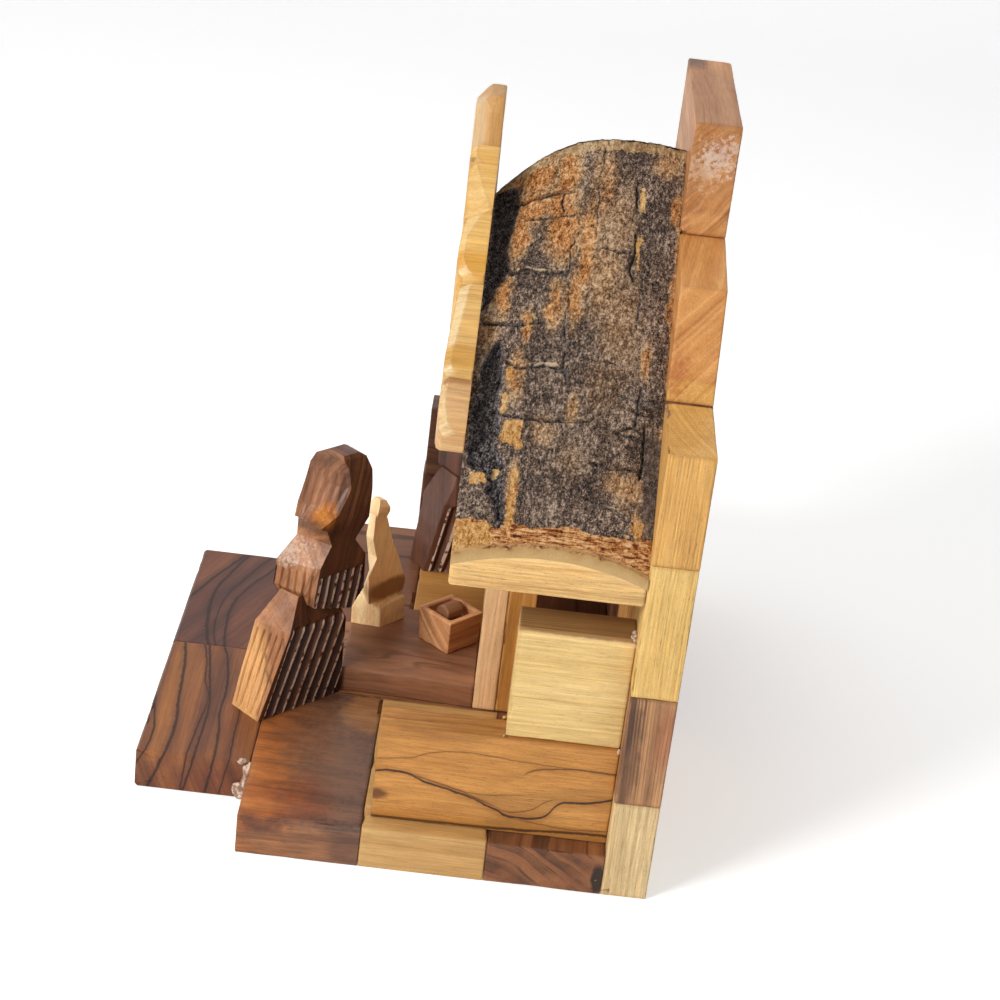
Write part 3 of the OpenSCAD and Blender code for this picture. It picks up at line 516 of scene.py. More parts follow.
# the sawn wedge: its rounded lower corner and ends, the pitch of its underside, sections between the
# ends, points along each stretch of the profile, and how far it stays behind the end of the rind
slabShape = {"corner": 1.1, "end": 0.6, "underPitch": 38.0, "inner": 18, "top": 60, "under": 26, "eave": 26,
             "ridge": 10, "behind": 0.04}


def slabWedge(side, material):
    # the sawn wedge under the bark: its profile across the stable is carried from front to back
    shape, corner = slabShape, slabShape["corner"]
    node = "roof_slab_" + side
    low, high = nodeBox(node)
    width = max(abs(low[0]), abs(high[0])) - shape["behind"]
    eaveZ, ridgeUnder = low[2], low[2] + width * math.tan(math.radians(shape["underPitch"]))
    turn = np.linspace(0, math.pi / 2, 5)
    flat = np.linspace(low[1] + 2, high[1] - 2, shape["inner"])
    bent = shape["end"] * (1 - np.cos(turn)) + shape["behind"]
    y = np.concatenate([low[1] + bent, flat, high[1] - bent[::-1]])
    shrink = shape["end"] * np.concatenate([1 - np.sin(turn), np.zeros(shape["inner"]), 1 - np.sin(turn[::-1])])
    arc = np.linspace(-math.pi / 2, 0, 6)[1:]
    sections = []
    for place, inward in zip(y, shrink):
        xTop = np.linspace(width - inward, inward, shape["top"])
        zTop = roofPlace(xTop, np.full_like(xTop, place), roofShape["bark"] - 0.1)[1]
        start = np.array([inward, ridgeUnder + inward])
        stop = np.array([width - corner - inward, eaveZ + inward])
        under = start + (stop - start) * np.linspace(0, 1, shape["under"])[:, None]
        bend = np.stack([width - inward - corner * (1 - np.cos(arc)),
                         eaveZ + inward + corner * (1 + np.sin(arc))], axis=1)
        endZ = np.linspace(eaveZ + inward + corner, zTop[0], shape["eave"])[1:-1]
        ridgeZ = np.linspace(zTop[-1], ridgeUnder + inward, shape["ridge"])[1:-1]
        profile = np.concatenate([under, bend, np.stack([np.full(len(endZ), width - inward), endZ], axis=1),
                                  np.stack([xTop, zTop], axis=1),
                                  np.stack([np.full(len(ridgeZ), inward), ridgeZ], axis=1)])
        sections.append(np.stack([profile[:, 0], np.full(len(profile), place), profile[:, 1]], axis=1))
    grid = np.array(sections)
    points = grid.reshape(-1, 3) * np.array([-1 if side == "left" else 1, 1, 1])
    finishPiece(node + "_wood", points, tubeFaces(*grid.shape[:2]), material, node, 50)


# shader helpers
def newMaterial(name):
    material = bpy.data.materials.new(name)
    material.use_nodes = True
    tree = material.node_tree
    return material, tree, tree.nodes["Principled BSDF"]


def srgb(text):
    # a colour written as six hex digits, turned to the linear values that shaders use
    parts = [int(text[i:i + 2], 16) / 255 for i in (0, 2, 4)]
    return tuple(c / 12.92 if c <= 0.04045 else ((c + 0.055) / 1.055) ** 2.4 for c in parts) + (1.0,)


def feed(tree, node, inputs):
    # each input takes a link from another node, or else a value of its own
    for key, value in inputs.items():
        if isinstance(value, bpy.types.NodeSocket):
            tree.links.new(value, node.inputs[key])
        else:
            node.inputs[key].default_value = value


def addNode(tree, kind, inputs=None, **settings):
    node = tree.nodes.new("ShaderNode" + kind)
    for key, value in settings.items():
        setattr(node, key, value)
    feed(tree, node, inputs or {})
    return node


def sums(tree, operation, *values):
    return addNode(tree, "Math", dict(enumerate(values)), operation=operation).outputs[0]


def plus(tree, first, second):
    return sums(tree, "ADD", first, second)


def minus(tree, first, second):
    return sums(tree, "SUBTRACT", first, second)


def times(tree, first, second):
    return sums(tree, "MULTIPLY", first, second)


def swing(tree, value, strength):
    # a value between 0 and 1 becomes one around 0
    return times(tree, minus(tree, value, 0.5), strength)


def steps(tree, value, low, high, toLow=0.0, toHigh=1.0, smooth=True):
    return addNode(tree, "MapRange", {"Value": value, "From Min": low, "From Max": high, "To Min": toLow,
                                      "To Max": toHigh},
                   interpolation_type="SMOOTHSTEP" if smooth else "LINEAR").outputs[0]


def mixed(tree, share, first, second, blend="MIX"):
    return addNode(tree, "Mix", {0: share, 6: first, 7: second}, data_type="RGBA", blend_type=blend).outputs[2]


def vectors(tree, operation, *values):
    return addNode(tree, "VectorMath", dict(enumerate(values)), operation=operation).outputs[0]


def noise(tree, vector, scale=1.0, detail=2.0, roughness=0.5, w=None, out=0):
    # noise in three dimensions; w makes it four, and w without a vector one
    inputs = {"Scale": scale, "Detail": detail, "Roughness": roughness}
    if vector is not None:
        inputs["Vector"] = vector
    if w is not None:
        inputs["W"] = w
    kind = "3D" if w is None else "1D" if vector is None else "4D"
    return addNode(tree, "TexNoise", inputs, noise_dimensions=kind).outputs[out]


def objectPlace(tree):
    return addNode(tree, "TexCoord").outputs["Object"]


def placeInMm(tree):
    return addNode(tree, "Mapping", {"Vector": objectPlace(tree), "Scale": (1 / mm,) * 3}).outputs[0]


def fromAxis(tree, vector):
    # the distance from the X axis
    parts = addNode(tree, "SeparateXYZ", {0: vector}).outputs
    return sums(tree, "SQRT", plus(tree, *(sums(tree, "POWER", parts[i], 2.0) for i in (1, 2))))


def markOf(tree, key):
    return addNode(tree, "Attribute", attribute_name=key).outputs["Fac"]


def ramp(tree, value, stops):
    # stops: place and colour, one pair after another
    node = addNode(tree, "ValToRGB", {"Fac": value})
    elements = node.color_ramp.elements
    while len(elements) < len(stops) / 2:
        elements.new(0.5)
    for element, place, tint in zip(elements, stops[::2], stops[1::2]):
        element.position = place
        element.color = srgb(tint)
    return node.outputs[0]


def dress(tree, shader, colour, height, strength, depth, **values):
    # colour and bump (depth in mm) for the shader; the other values go to the sockets of those names
    bump = addNode(tree, "Bump", {"Height": height, "Strength": strength, "Distance": depth * mm})
    feed(tree, shader, {"Base Color": colour, "Normal": bump.outputs[0]})
    feed(tree, shader, {key.replace("_", " "): value for key, value in values.items()})


def newGroup(name, inputs, outputs):
    # inputs: name -> default, a number, a vector or a colour; outputs: name -> socket type
    kinds = {0: "NodeSocketFloat", 3: "NodeSocketVector", 4: "NodeSocketColor"}
    group = bpy.data.node_groups.new(name, "ShaderNodeTree")
    for key, value in inputs.items():
        kind = kinds[len(value) if isinstance(value, tuple) else 0]
        group.interface.new_socket(key, in_out="INPUT", socket_type=kind).default_value = value
    for key, kind in outputs.items():
        group.interface.new_socket(key, in_out="OUTPUT", socket_type=kind)
    return group, group.nodes.new("NodeGroupInput").outputs, group.nodes.new("NodeGroupOutput")


# olive wood
def buildOliveGrain():
    # Growth rings are the distance from the pith, bent by slow noise. The vector comes in millimetres
    # with the grain along X. Bands of one-dimensional noise over that distance give the pale and dark
    # zones, thin dark lines follow the same rings, and stretched noise gives fibres and pores.
    tree, given, out = newGroup("oliveGrain", {
        "Vector": (0.0, 0.0, 0.0), "Pale": srgb("e0b77a"), "Mid": srgb("c08a50"), "Dark": srgb("7a4a2c"),
        "Line": srgb("3a2214"), "Band Width": 4.0, "Bend": 3.0, "Bend Size": 14.0, "Darkness": 0.5,
        "Line Gap": 2.0, "Line Strength": 0.6, "Fibre Strength": 0.4, "Mottle": 0.3, "Seed": 0.0},
        {"Color": "NodeSocketColor", "Height": "NodeSocketFloat"})
    vector, seed, fibres = given["Vector"], given["Seed"], given["Fibre Strength"]
    stretch = vectors(tree, "MULTIPLY", vector, (0.28, 1, 1))
    bend = noise(tree, stretch, sums(tree, "DIVIDE", 1.0, given["Bend Size"]), 2.0, 0.45, seed, "Color")
    centred = vectors(tree, "SUBTRACT", bend, (0.5, 0.5, 0.5))
    turned = addNode(tree, "VectorMath", {0: centred, "Scale": times(tree, given["Bend"], 4.0)}, operation="SCALE")
    bent = vectors(tree, "ADD", vector, turned.outputs[0])
    ringPlace = fromAxis(tree, bent)
    # broad bands
    bandPlace = plus(tree, sums(tree, "DIVIDE", ringPlace, given["Band Width"]), times(tree, seed, 13.7))
    bands = noise(tree, None, 1.0, 3.0, 0.6, bandPlace)
    cloud = noise(tree, stretch, 0.11, 3.0, 0.5, plus(tree, seed, 5.3))
    depth = plus(tree, times(tree, bands, 0.75), times(tree, cloud, 0.5))
    depth = plus(tree, depth, minus(tree, given["Darkness"], 1.12))
    colour = mixed(tree, steps(tree, depth, -0.35, 0.05), given["Pale"], given["Mid"])
    colour = mixed(tree, steps(tree, depth, -0.02, 0.32), colour, given["Dark"])
    # thin dark lines along the rings, which fade in and out
    linePlace = plus(tree, sums(tree, "DIVIDE", ringPlace, given["Line Gap"]), times(tree, seed, 7.1))
    offLine = sums(tree, "ABSOLUTE", minus(tree, noise(tree, None, 1.0, 1.0, 0.5, linePlace), 0.5))
    fade = noise(tree, stretch, 0.14, w=plus(tree, seed, 9.9))
    line = times(tree, steps(tree, offLine, 0.055, 0.0), steps(tree, fade, 0.36, 0.6))
    halo = times(tree, steps(tree, offLine, 0.14, 0.0), steps(tree, fade, 0.4, 0.7))
    line = times(tree, line, given["Line Strength"])
    colour = mixed(tree, times(tree, halo, times(tree, given["Line Strength"], 0.35)), colour, given["Dark"])
    colour = mixed(tree, line, colour, given["Line"])
    # fibres, pores and dust along the grain
    fibre = noise(tree, vectors(tree, "MULTIPLY", bent, (0.11, 2.6, 2.6)), 1.0, 3.0, 0.65)
    pores = noise(tree, vectors(tree, "MULTIPLY", bent, (0.5, 5.5, 5.5)), 1.0, 2.0, 0.6)
    fibreShade = swing(tree, fibre, fibres)
    poreShade = times(tree, steps(tree, pores, 0.62, 0.74), fibres)
    mottle = swing(tree, noise(tree, stretch, 0.5, 4.0), given["Mottle"])
    grit = swing(tree, noise(tree, bent, 3.2, 2.0, 0.7), fibres)
    bright = plus(tree, plus(tree, 1.0, times(tree, grit, 0.6)), plus(tree, times(tree, fibreShade, 1.9), mottle))
    bright = minus(tree, bright, times(tree, poreShade, 0.5))
    tint = addNode(tree, "CombineColor", {0: bright, 1: bright, 2: bright}).outputs[0]
    height = minus(tree, fibreShade, plus(tree, poreShade, times(tree, line, 0.3)))
    feed(tree, out, {"Color": mixed(tree, 1.0, colour, tint, "MULTIPLY"), "Height": height})
    return tree


def buildSoftPatch():
    # A soft blot: one inside an ellipsoid round the centre, none outside, its border broken by noise
    tree, given, out = newGroup("softPatch", {"Centre": (0, 0, 0), "Size": (5, 5, 5), "Softness": 0.4, "Break": 0.3,
                                              "Break Size": 3.0}, {"Mask": "NodeSocketFloat"})
    inMm = vectors(tree, "MULTIPLY", objectPlace(tree), (1 / mm,) * 3)
    shares = vectors(tree, "DIVIDE", vectors(tree, "SUBTRACT", inMm, given["Centre"]), given["Size"])
    far = addNode(tree, "VectorMath", {0: shares}, operation="LENGTH").outputs["Value"]
    border = noise(tree, inMm, sums(tree, "DIVIDE", 1.0, given["Break Size"]), 4.0, 0.6)
    far = plus(tree, far, swing(tree, border, times(tree, given["Break"], 3.0)))
    ends = (sums(tree, operation, 1.0, given["Softness"]) for operation in ("SUBTRACT", "ADD"))
    feed(tree, out, {"Mask": steps(tree, far, *ends, 1.0, 0.0)})
    return tree


oliveGrain = buildOliveGrain()
softPatch = buildSoftPatch()

# What a wood looks like unless a piece says otherwise. Tints are its pale, mid, dark and line colours. The
# grain is a direction, the pith a point in mm that the rings lie round.
woodLook = {"tints": "e0b77a c08a50 7a4a2c 3a2214", "bandWidth": 4.0, "bend": 2.0, "bendSize": 22.0, "darkness": 0.5,
            "lineGap": 2.0, "lineStrength": 0.6, "fibre": 0.4, "mottle": 0.3, "seed": 0.0, "grain": (1, 0, 0),
            "pith": (0, 0, -60), "roughness": 0.48, "coat": 0.1, "bump": 0.14, "stains": (), "veins": (),
            "edgeTint": "5a3820", "edgeStrength": 0.25, "shine": 0.3}


def alongGrain(tree, grain, pith):
    # object coordinates in millimetres, turned so that X follows the grain, with the pith on the X axis
    along = Vector(grain).normalized()
    side = (Vector((0, 0, 1)) if abs(along.z) < 0.9 else Vector((0, 1, 0))).cross(along).normalized()
    turn = Matrix((along, side, along.cross(side)))
    return addNode(tree, "Mapping", {"Vector": objectPlace(tree), "Location": -(turn @ Vector(pith)),
                                     "Rotation": turn.to_euler("XYZ"), "Scale": (1 / mm,) * 3}).outputs[0]


def grainNode(tree, look, tints):
    inputs = dict(zip(("Pale", "Mid", "Dark", "Line"), map(srgb, tints)))
    for key, name in (("Band Width", "bandWidth"), ("Bend", "bend"), ("Bend Size", "bendSize"),
                      ("Darkness", "darkness"), ("Line Gap", "lineGap"), ("Line Strength", "lineStrength"),
                      ("Fibre Strength", "fibre"), ("Mottle", "mottle"), ("Seed", "seed")):
        inputs[key] = look[name]
    inputs["Vector"] = alongGrain(tree, look["grain"], look["pith"])
    return addNode(tree, "Group", inputs, node_tree=oliveGrain)


def stain(at, size, tints, soft=0.4, strength=0.8, ragged=0.25, raggedSize=3.0, mark=None):
    # Tinted wood inside an ellipsoid, or where a mark of the mesh is set: mostly real stains, while some
    # pieces use it for painted shade or a painted highlight, which their comments name. One tint covers the grain;
    # three (pale, mid and dark) let it show. Ragged is how far noise breaks the border up.
    return {"at": at, "size": size, "tints": tints.split(), "soft": soft, "strength": strength, "ragged": ragged,
            "raggedSize": raggedSize, "mark": mark}


def marked(mark, tints, strength):
    # tinted wood all over the faces that carry a mark, such as the bevels that the knife left; on the standing figure
    # it paints light onto the lit narrow side
    return stain(None, None, tints, strength=strength, mark=mark)


def vein(axes, u, v, width, strength=0.9, lean=None, fadeIn=0.001, fadeOut=0.001):
    # A dark line drawn on one face, from places along it (u) and across it (v), in mm. A lean is an axis,
    # a start and how far the line moves for each millimetre along that axis.
    return {"axes": axes, "u": u, "v": v, "width": width, "strength": strength, "lean": lean, "fadeIn": fadeIn,
            "fadeOut": fadeOut}


def stainOrPaintedLightMask(tree, spot):
    if spot["mark"]:
        return markOf(tree, spot["mark"])
    return addNode(tree, "Group", {"Centre": spot["at"], "Size": spot["size"], "Softness": spot["soft"],
                                   "Break": spot["ragged"], "Break Size": spot["raggedSize"]},
                   node_tree=softPatch).outputs[0]


# drawn veins: how far noise shakes them and its size per mm, and where core and halo end, in widths
veinShape = {"shake": 0.6, "shakeSize": 0.55, "core": (1.1, 0.35), "halo": (4.5, 0.6), "haloStrength": 0.45}


def drawnVein(tree, line, seedShift):
    # a thin dark line: its place across the face is a curve of the place along it
    shape, place = veinShape, objectPlace(tree)
    parts = addNode(tree, "SeparateXYZ", {0: place}).outputs

    def along(axis):
        return sums(tree, "DIVIDE", parts["XYZ".index(axis)], mm)
    u, v = map(along, line["axes"])
    if line["lean"]:
        axis, start, slope = line["lean"]
        v = plus(tree, v, times(tree, minus(tree, along(axis), start), slope))
    places, heights = line["u"], line["v"]
    share = steps(tree, u, places[0], places[-1], smooth=False)
    curve = addNode(tree, "FloatCurve", {"Value": share})
    points = curve.mapping.curves[0].points
    low, high = min(heights) - 1, max(heights) + 1
    while len(points) < len(places):
        points.new(0.5, 0.5)
    for point, step, across in zip(points, places, heights):
        point.location = ((step - places[0]) / (places[-1] - places[0]), (across - low) / (high - low))
    curve.mapping.update()
    middle = steps(tree, curve.outputs[0], 0, 1, low, high, smooth=False)
    shake = noise(tree, vectors(tree, "MULTIPLY", place, (shape["shakeSize"] / mm,) * 3), 1.0, 3.0, w=seedShift)
    away = sums(tree, "ABSOLUTE", plus(tree, minus(tree, v, middle), swing(tree, shake, shape["shake"])))
    away = sums(tree, "DIVIDE", away, times(tree, plus(tree, 0.6, shake), line["width"]))
    ends = times(tree, steps(tree, share, 0.0, line["fadeIn"]), steps(tree, share, 1.0, 1 - line["fadeOut"]))
    core = times(tree, times(tree, steps(tree, away, *shape["core"]), ends), line["strength"])
    return core, times(tree, steps(tree, away, *shape["halo"]),
                       times(tree, ends, line["strength"] * shape["haloStrength"]))


def woodMaterial(name, look):
    look = dict(woodLook, **look)
    tints = look["tints"].split()
    material, tree, shader = newMaterial(name)
    grain = grainNode(tree, look, tints)
    colour, height, coat = grain.outputs["Color"], grain.outputs["Height"], look["coat"]
    for spot in look["stains"]:
        mask = times(tree, stainOrPaintedLightMask(tree, spot), spot["strength"])
        over = srgb(spot["tints"][0])
        if len(spot["tints"]) > 1:
            over = grainNode(tree, look, spot["tints"] + tints[3:]).outputs["Color"]
        colour = mixed(tree, mask, colour, over)
    for count, line in enumerate(look["veins"]):
        core, halo = drawnVein(tree, line, count * 3.1)
        colour = mixed(tree, core, mixed(tree, halo, colour, srgb(tints[2])), srgb(tints[3]))
        height = minus(tree, height, times(tree, core, 0.3))
    if "carved" in look:        # grooves get painted shade and lose their coat; the crests between them get a painted highlight
        cut = markOf(tree, "groove")
        colour = mixed(tree, times(tree, steps(tree, cut, 0.1, 0.9), look["carved"]), colour, srgb("2b150c"))
        height = minus(tree, height, times(tree, cut, 0.2))
        crestHighlight = times(tree, steps(tree, markOf(tree, "crest"), 0.25, 0.7),
                       steps(tree, noise(tree, placeInMm(tree), 0.8, 4.0), 0.36, 0.5))
        # the pale painted highlight along the crests
        colour = mixed(tree, times(tree, crestHighlight, 0.75), colour, srgb("e6d0bc"))
        coat = steps(tree, cut, 0.0, 0.5, coat, 0.0)
    colour = mixed(tree, times(tree, markOf(tree, "edge"), look["edgeStrength"]), colour, srgb(look["edgeTint"]))
    rough = steps(tree, height, -0.3, 0.3, look["roughness"] + 0.1, look["roughness"] - 0.06)
    dress(tree, shader, colour, height, 0.7, look["bump"], Roughness=rough, Coat_Weight=coat, Coat_Roughness=0.3,
          Specular_IOR_Level=look["shine"])
    return material


slabLook = dict(woodLook, bandWidth=1.2, bend=0.5, bendSize=12.0, darkness=0.45, lineGap=0.8, lineStrength=0.45,
                fibre=0.75, seed=3.0, grain=(0, 1, 0))


def slabMaterial(side):
    # cream sapwood; just under the bark it turns tan, then rusty
    material, tree, shader = newMaterial("slab_wood_" + side)
    grain = grainNode(tree, slabLook, ("e4be80", "d5aa68", "b98a4a", "94683a"))
    colour = underBark(tree, *logAxis(side), grain.outputs["Color"])
    dress(tree, shader, colour, grain.outputs["Height"], 0.6, 0.12, Roughness=0.5)
    return material


def underBark(tree, along, point, colour):
    # from the cream wood out: a darker tan, then a thin rusty ring right under the bark
    turned = alongGrain(tree, along, point)
    border = swing(tree, noise(tree, turned, 0.35, 4.0), 2.2)
    depth = plus(tree, minus(tree, roofShape["logRadius"], fromAxis(tree, turned)), border)
    colour = mixed(tree, steps(tree, depth, 5.0, 2.4, 0.0, 0.5), colour, srgb("dcb478"))
    colour = mixed(tree, steps(tree, depth, 3.0, 1.2, 0.0, 0.7), colour, srgb("c8955a"))
    rusty = ramp(tree, noise(tree, turned, 1.6, 4.0), (0.38, "4e2410", 0.5, "a9612f", 0.6, "e8b080"))
    return mixed(tree, steps(tree, depth, 1.7, 1.0), colour, rusty)


# the bark's colours over its tone, from the hollows to the grains
barkTones = {"bark": (0.412, "080504", 0.46, "291d17", 0.494, "5a463a", 0.526, "8b715e", 0.575, "e0c7b0"),
             "warm": (0.412, "26140a", 0.458, "765031", 0.492, "ab8056", 0.55, "e8c69c"),
             "rust": (0.41, "2c1206", 0.454, "7c3e13", 0.49, "bb7334", 0.523, "df9d5a", 0.575, "fad2a2"),
             "plate": (0.42, "231b18", 0.5, "5b4d46", 0.56, "84766e", 0.62, "b5a8a0"),
             "ridge": (0.42, "6e4c30", 0.49, "b08a5e", 0.53, "d3b184", 0.6, "efdab6"),
             # the black of furrows and cracks; its palest stops paint glints on the glossy black
             "hollowBlackAndGlint": (0.43, "080606", 0.472, "29211e", 0.512, "5d5453", 0.562, "bfb6b2"),
             "inner": (0.42, "3a1408", 0.462, "8a4620", 0.495, "c88242", 0.535, "eeb679", 0.58, "fbdcb0"),
             "chip": (0.41, "7a441b", 0.456, "bb7a36", 0.497, "daa45d", 0.57, "f5d29b")}


def barkMaterial(side):
    # Two sizes of noise, stretched down the slope, give dark hollows, brown bark and pale grains; the
    # masks of the relief lay rust, the black of furrows and cracks with its painted glints, bare wood and
    # the plate over them, their borders broken by noise
    along, point = logAxis(side)
    material, tree, shader = newMaterial("bark_" + side)

    def blend(first, share, second, other):
        return plus(tree, times(tree, first, share), times(tree, second, other))

    def lay(colour, amount, key, tint, low, high, most=1.0):
        share = steps(tree, plus(tree, markOf(tree, key), times(tree, broken, amount)), low, high)
        return mixed(tree, times(tree, share, most), colour, tint)

    def toned(key, value):
        return ramp(tree, value, barkTones[key])

    place = placeInMm(tree)
    downSlope = vectors(tree, "MULTIPLY", alongGrain(tree, along, point), (0.8, 1.1, 1))
    rough = noise(tree, downSlope, 1.1, 8.0, 0.82)
    grit = noise(tree, downSlope, 2.7, 5.0, 0.8)
    specks = noise(tree, place, 4.4, 2.0, 0.6)
    tone = plus(tree, blend(rough, 0.54, grit, 0.34), times(tree, noise(tree, place, 0.14, 3.0), 0.12))
    broken = plus(tree, swing(tree, rough, 2.2), swing(tree, grit, 1.0))
    colour = toned("bark", tone)
    colour = mixed(tree, times(tree, steps(tree, specks, 0.62, 0.66), 0.6), colour, srgb("dccdbc"))
    colour = mixed(tree, times(tree, steps(tree, specks, 0.4, 0.33), 0.7), colour, srgb("140e0b"))
    colour = mixed(tree, steps(tree, markOf(tree, "rust"), 0.0, 0.55), colour, toned("warm", tone))
    colour = lay(colour, 1.0, "rust", toned("rust", tone), 0.4, 0.85, 0.92)
    colour = mixed(tree, times(tree, markOf(tree, "plate"), 0.8), colour, toned("plate", tone))
    colour = lay(colour, 0.6, "ridge", toned("ridge", tone), 0.35, 0.75)
    colour = lay(colour, 0.35, "hollowBlackAndGlint", toned("hollowBlackAndGlint", blend(grit, 0.6, rough, 0.4)), 0.3, 0.7)
    sheets = noise(tree, vectors(tree, "MULTIPLY", place, (2.2, 0.22, 2.2)), 0.8, 4.0, 0.7)
    colour = lay(colour, 0.3, "inner", toned("inner", blend(tone, 0.5, sheets, 0.5)), 0.3, 0.65)
    colour = lay(colour, 0.5, "ochre", toned("chip", tone), 0.35, 0.8)
    colour = lay(colour, 0.7, "light", srgb("ecd0aa"), 0.35, 0.85, 0.85)
    rind = underBark(tree, along, point, srgb("e6c083"))
    colour = mixed(tree, steps(tree, markOf(tree, "side"), 0.1, 0.6), colour, rind)
    dress(tree, shader, colour, blend(rough, 0.65, grit, 0.35), 1.0, 1.3, Specular_IOR_Level=0.25,
          Roughness=steps(tree, markOf(tree, "hollowBlackAndGlint"), 0.2, 0.8, 0.68, 0.36))
    return material


print("materials ready")

# Each piece of the fascia: where it starts and ends across the stable, and over its run from the inner
# end (0) to the outer (1) how much the knife took off the top and the front, and the bevel's width. The
# lowest pieces have flutes.
fasciaShape = {"front": 1.0, "back": 7.0, "stations": 46, "endCut": 0.22, "shake": 0.07, "sag": 0.05,
               "flute": 0.32, "pitch": 2.15, "counts": (8, 10, 8, 8, 6), "least": 1.3}
lowCuts = {"t": (0, 0.1, 0.6, 0.9, 1), "drop": (0.5, 0.1, 0.1, 0.3, 0.9), "cut": (0.1, 0.1, 0.1, 0.5, 1.4),
           "bevel": (1.3, 1.3, 1.3, 1.8, 2.4)}
fasciaPieces = {
    "fascia_right_top": {"x": (6.0, 17.25), "t": (0, 0.1, 0.2, 0.24, 0.3, 0.6, 1),
        "drop": (0.1, 0.1, 0.15, 1.0, 0.25, 0.3, 0.0), "cut": (0.2, 0.1, 0.2, 1.2, 0.3, 0.2, 0.4),
        "bevel": (1.3, 1.3, 1.4, 2.2, 1.3, 3.2, 5.4)},
    "fascia_right_upper": {"x": (17.25, 28.29), "t": (0, 0.2, 0.45, 0.8, 0.92, 1),
        "drop": (0.5, 0.2, 0.0, 0.0, 0.25, 0.6), "cut": (0.9, 0.5, 0.2, 0.1, 0.5, 1.3),
        "bevel": (3.2, 2.4, 1.3, 1.3, 1.6, 2.2)},
    "fascia_right_middle": {"x": (28.29, 44.85), "t": (0, 0.08, 0.3, 0.6, 0.85, 0.96, 1),
        "drop": (0.9, 0.6, 0.75, 0.5, 0.1, 0.0, 0.3), "cut": (1.3, 1.0, 0.7, 0.3, 0.1, 0.1, 0.3),
        "bevel": (2.2, 2.2, 2.0, 1.7, 1.4, 1.4, 1.6)},
    "fascia_right_low": dict(lowCuts, x=(44.85, 53.82)),
    "fascia_left_top": {"x": (-6.0, -15.18), "t": (0, 0.5, 1), "drop": (0.1, 0.3, 0.1), "cut": (0.2, 0.4, 0.3),
        "bevel": (1.3, 2.2, 3.0)},
    "fascia_left_upper": {"x": (-15.18, -30.36), "t": (0, 0.5, 1), "drop": (0.5, 0.1, 0.4), "cut": (0.8, 0.2, 0.9),
        "bevel": (2.6, 1.3, 1.8)},
    "fascia_left_middle": {"x": (-30.36, -42.78), "t": (0, 0.4, 1), "drop": (0.8, 0.6, 0.1), "cut": (1.0, 0.5, 0.2),
        "bevel": (2.2, 1.9, 1.4)},
    "fascia_left_low": dict(lowCuts, x=(-42.78, -55.2))}


def endHeights(node, x, near=0.06):
    # the lowest and highest corner of a node at one place across
    points = nodePoints(node)
    there = points[np.abs(points[:, 0] - x) < near]
    return there[:, 2].min(), there[:, 2].max()


def fasciaPiece(node, material):
    # Sections across the board are carried along its run. A section is foot, back, top, bevel and front;
    # the places of the bevel's two edges follow the knife's cuts, and flutes are a row of shallow arches.
    shape, piece, seed = fasciaShape, fasciaPieces[node], seedOf(node)
    x0, x1 = piece["x"]
    (footIn, topIn), (footOut, topOut) = endHeights(node, x0), endHeights(node, x1)
    t = np.concatenate([[0, 0.012], np.linspace(0, 1, shape["stations"])[1:-1], [0.988, 1]])
    inward = np.zeros(len(t))
    inward[[0, -1]] = shape["endCut"]
    x = x0 + (x1 - x0) * t
    drop, cut, bevel = (np.interp(t, piece["t"], piece[key]) for key in ("drop", "cut", "bevel"))
    if node.endswith("_low"):
        arches = 1 - np.abs(np.sin(math.pi * np.abs(x - x0) / shape["pitch"]))
        drop = drop + shape["flute"] * arches * easeIn(0.03, 0.1, t)
    shake = waves(np.stack([x * 1.5, x * 0, x * 0], axis=1), 1.8, seed) * shape["shake"]
    top = topIn + (topOut - topIn) * t - drop - inward - np.abs(shake)
    foot = footIn + (footOut - footIn) * t + inward
    front = shape["front"] + cut + inward + np.abs(np.roll(shake, 5))
    back = shape["back"] - inward
    high = np.maximum(bevel * 0.55, shape["least"])
    corners = np.stack([np.stack(pair, 1) for pair in (
        (back, foot), (back, top), (np.minimum(front + bevel, back - 0.3), top), (front, top - high),
        (front, foot))], axis=1)
    parts, bevelMark, edgeMark = [], [], []
    for i, count in enumerate(shape["counts"]):
        a, b = corners[:, i], corners[:, (i + 1) % 5]
        share = np.linspace(0, 1, count, endpoint=False)
        parts.append(a[:, None] * (1 - share)[None, :, None] + b[:, None] * share[None, :, None])
        bevelMark += [1.0 if i == 2 else 0.0] * count
        edgeMark += [1.0] + [0.0] * (count - 1)
    ring = np.concatenate(parts, axis=1)
    grid = np.stack([np.repeat(x[:, None], ring.shape[1], axis=1), ring[..., 0], ring[..., 1]], axis=-1)
    sag = shape["sag"] * (1 + waves(grid.reshape(-1, 3), 3.0, seed + 2).reshape(grid.shape[:2]))
    grid[..., 2] -= sag * (grid[..., 2] > foot[:, None] + 1)
    rows = len(grid)
    marks = {"bevel": np.tile(bevelMark, rows), "edge": np.tile(edgeMark, rows)}
    finishPiece(node + "_carved", grid.reshape(-1, 3), tubeFaces(*grid.shape[:2]), material, node, 24, marks)


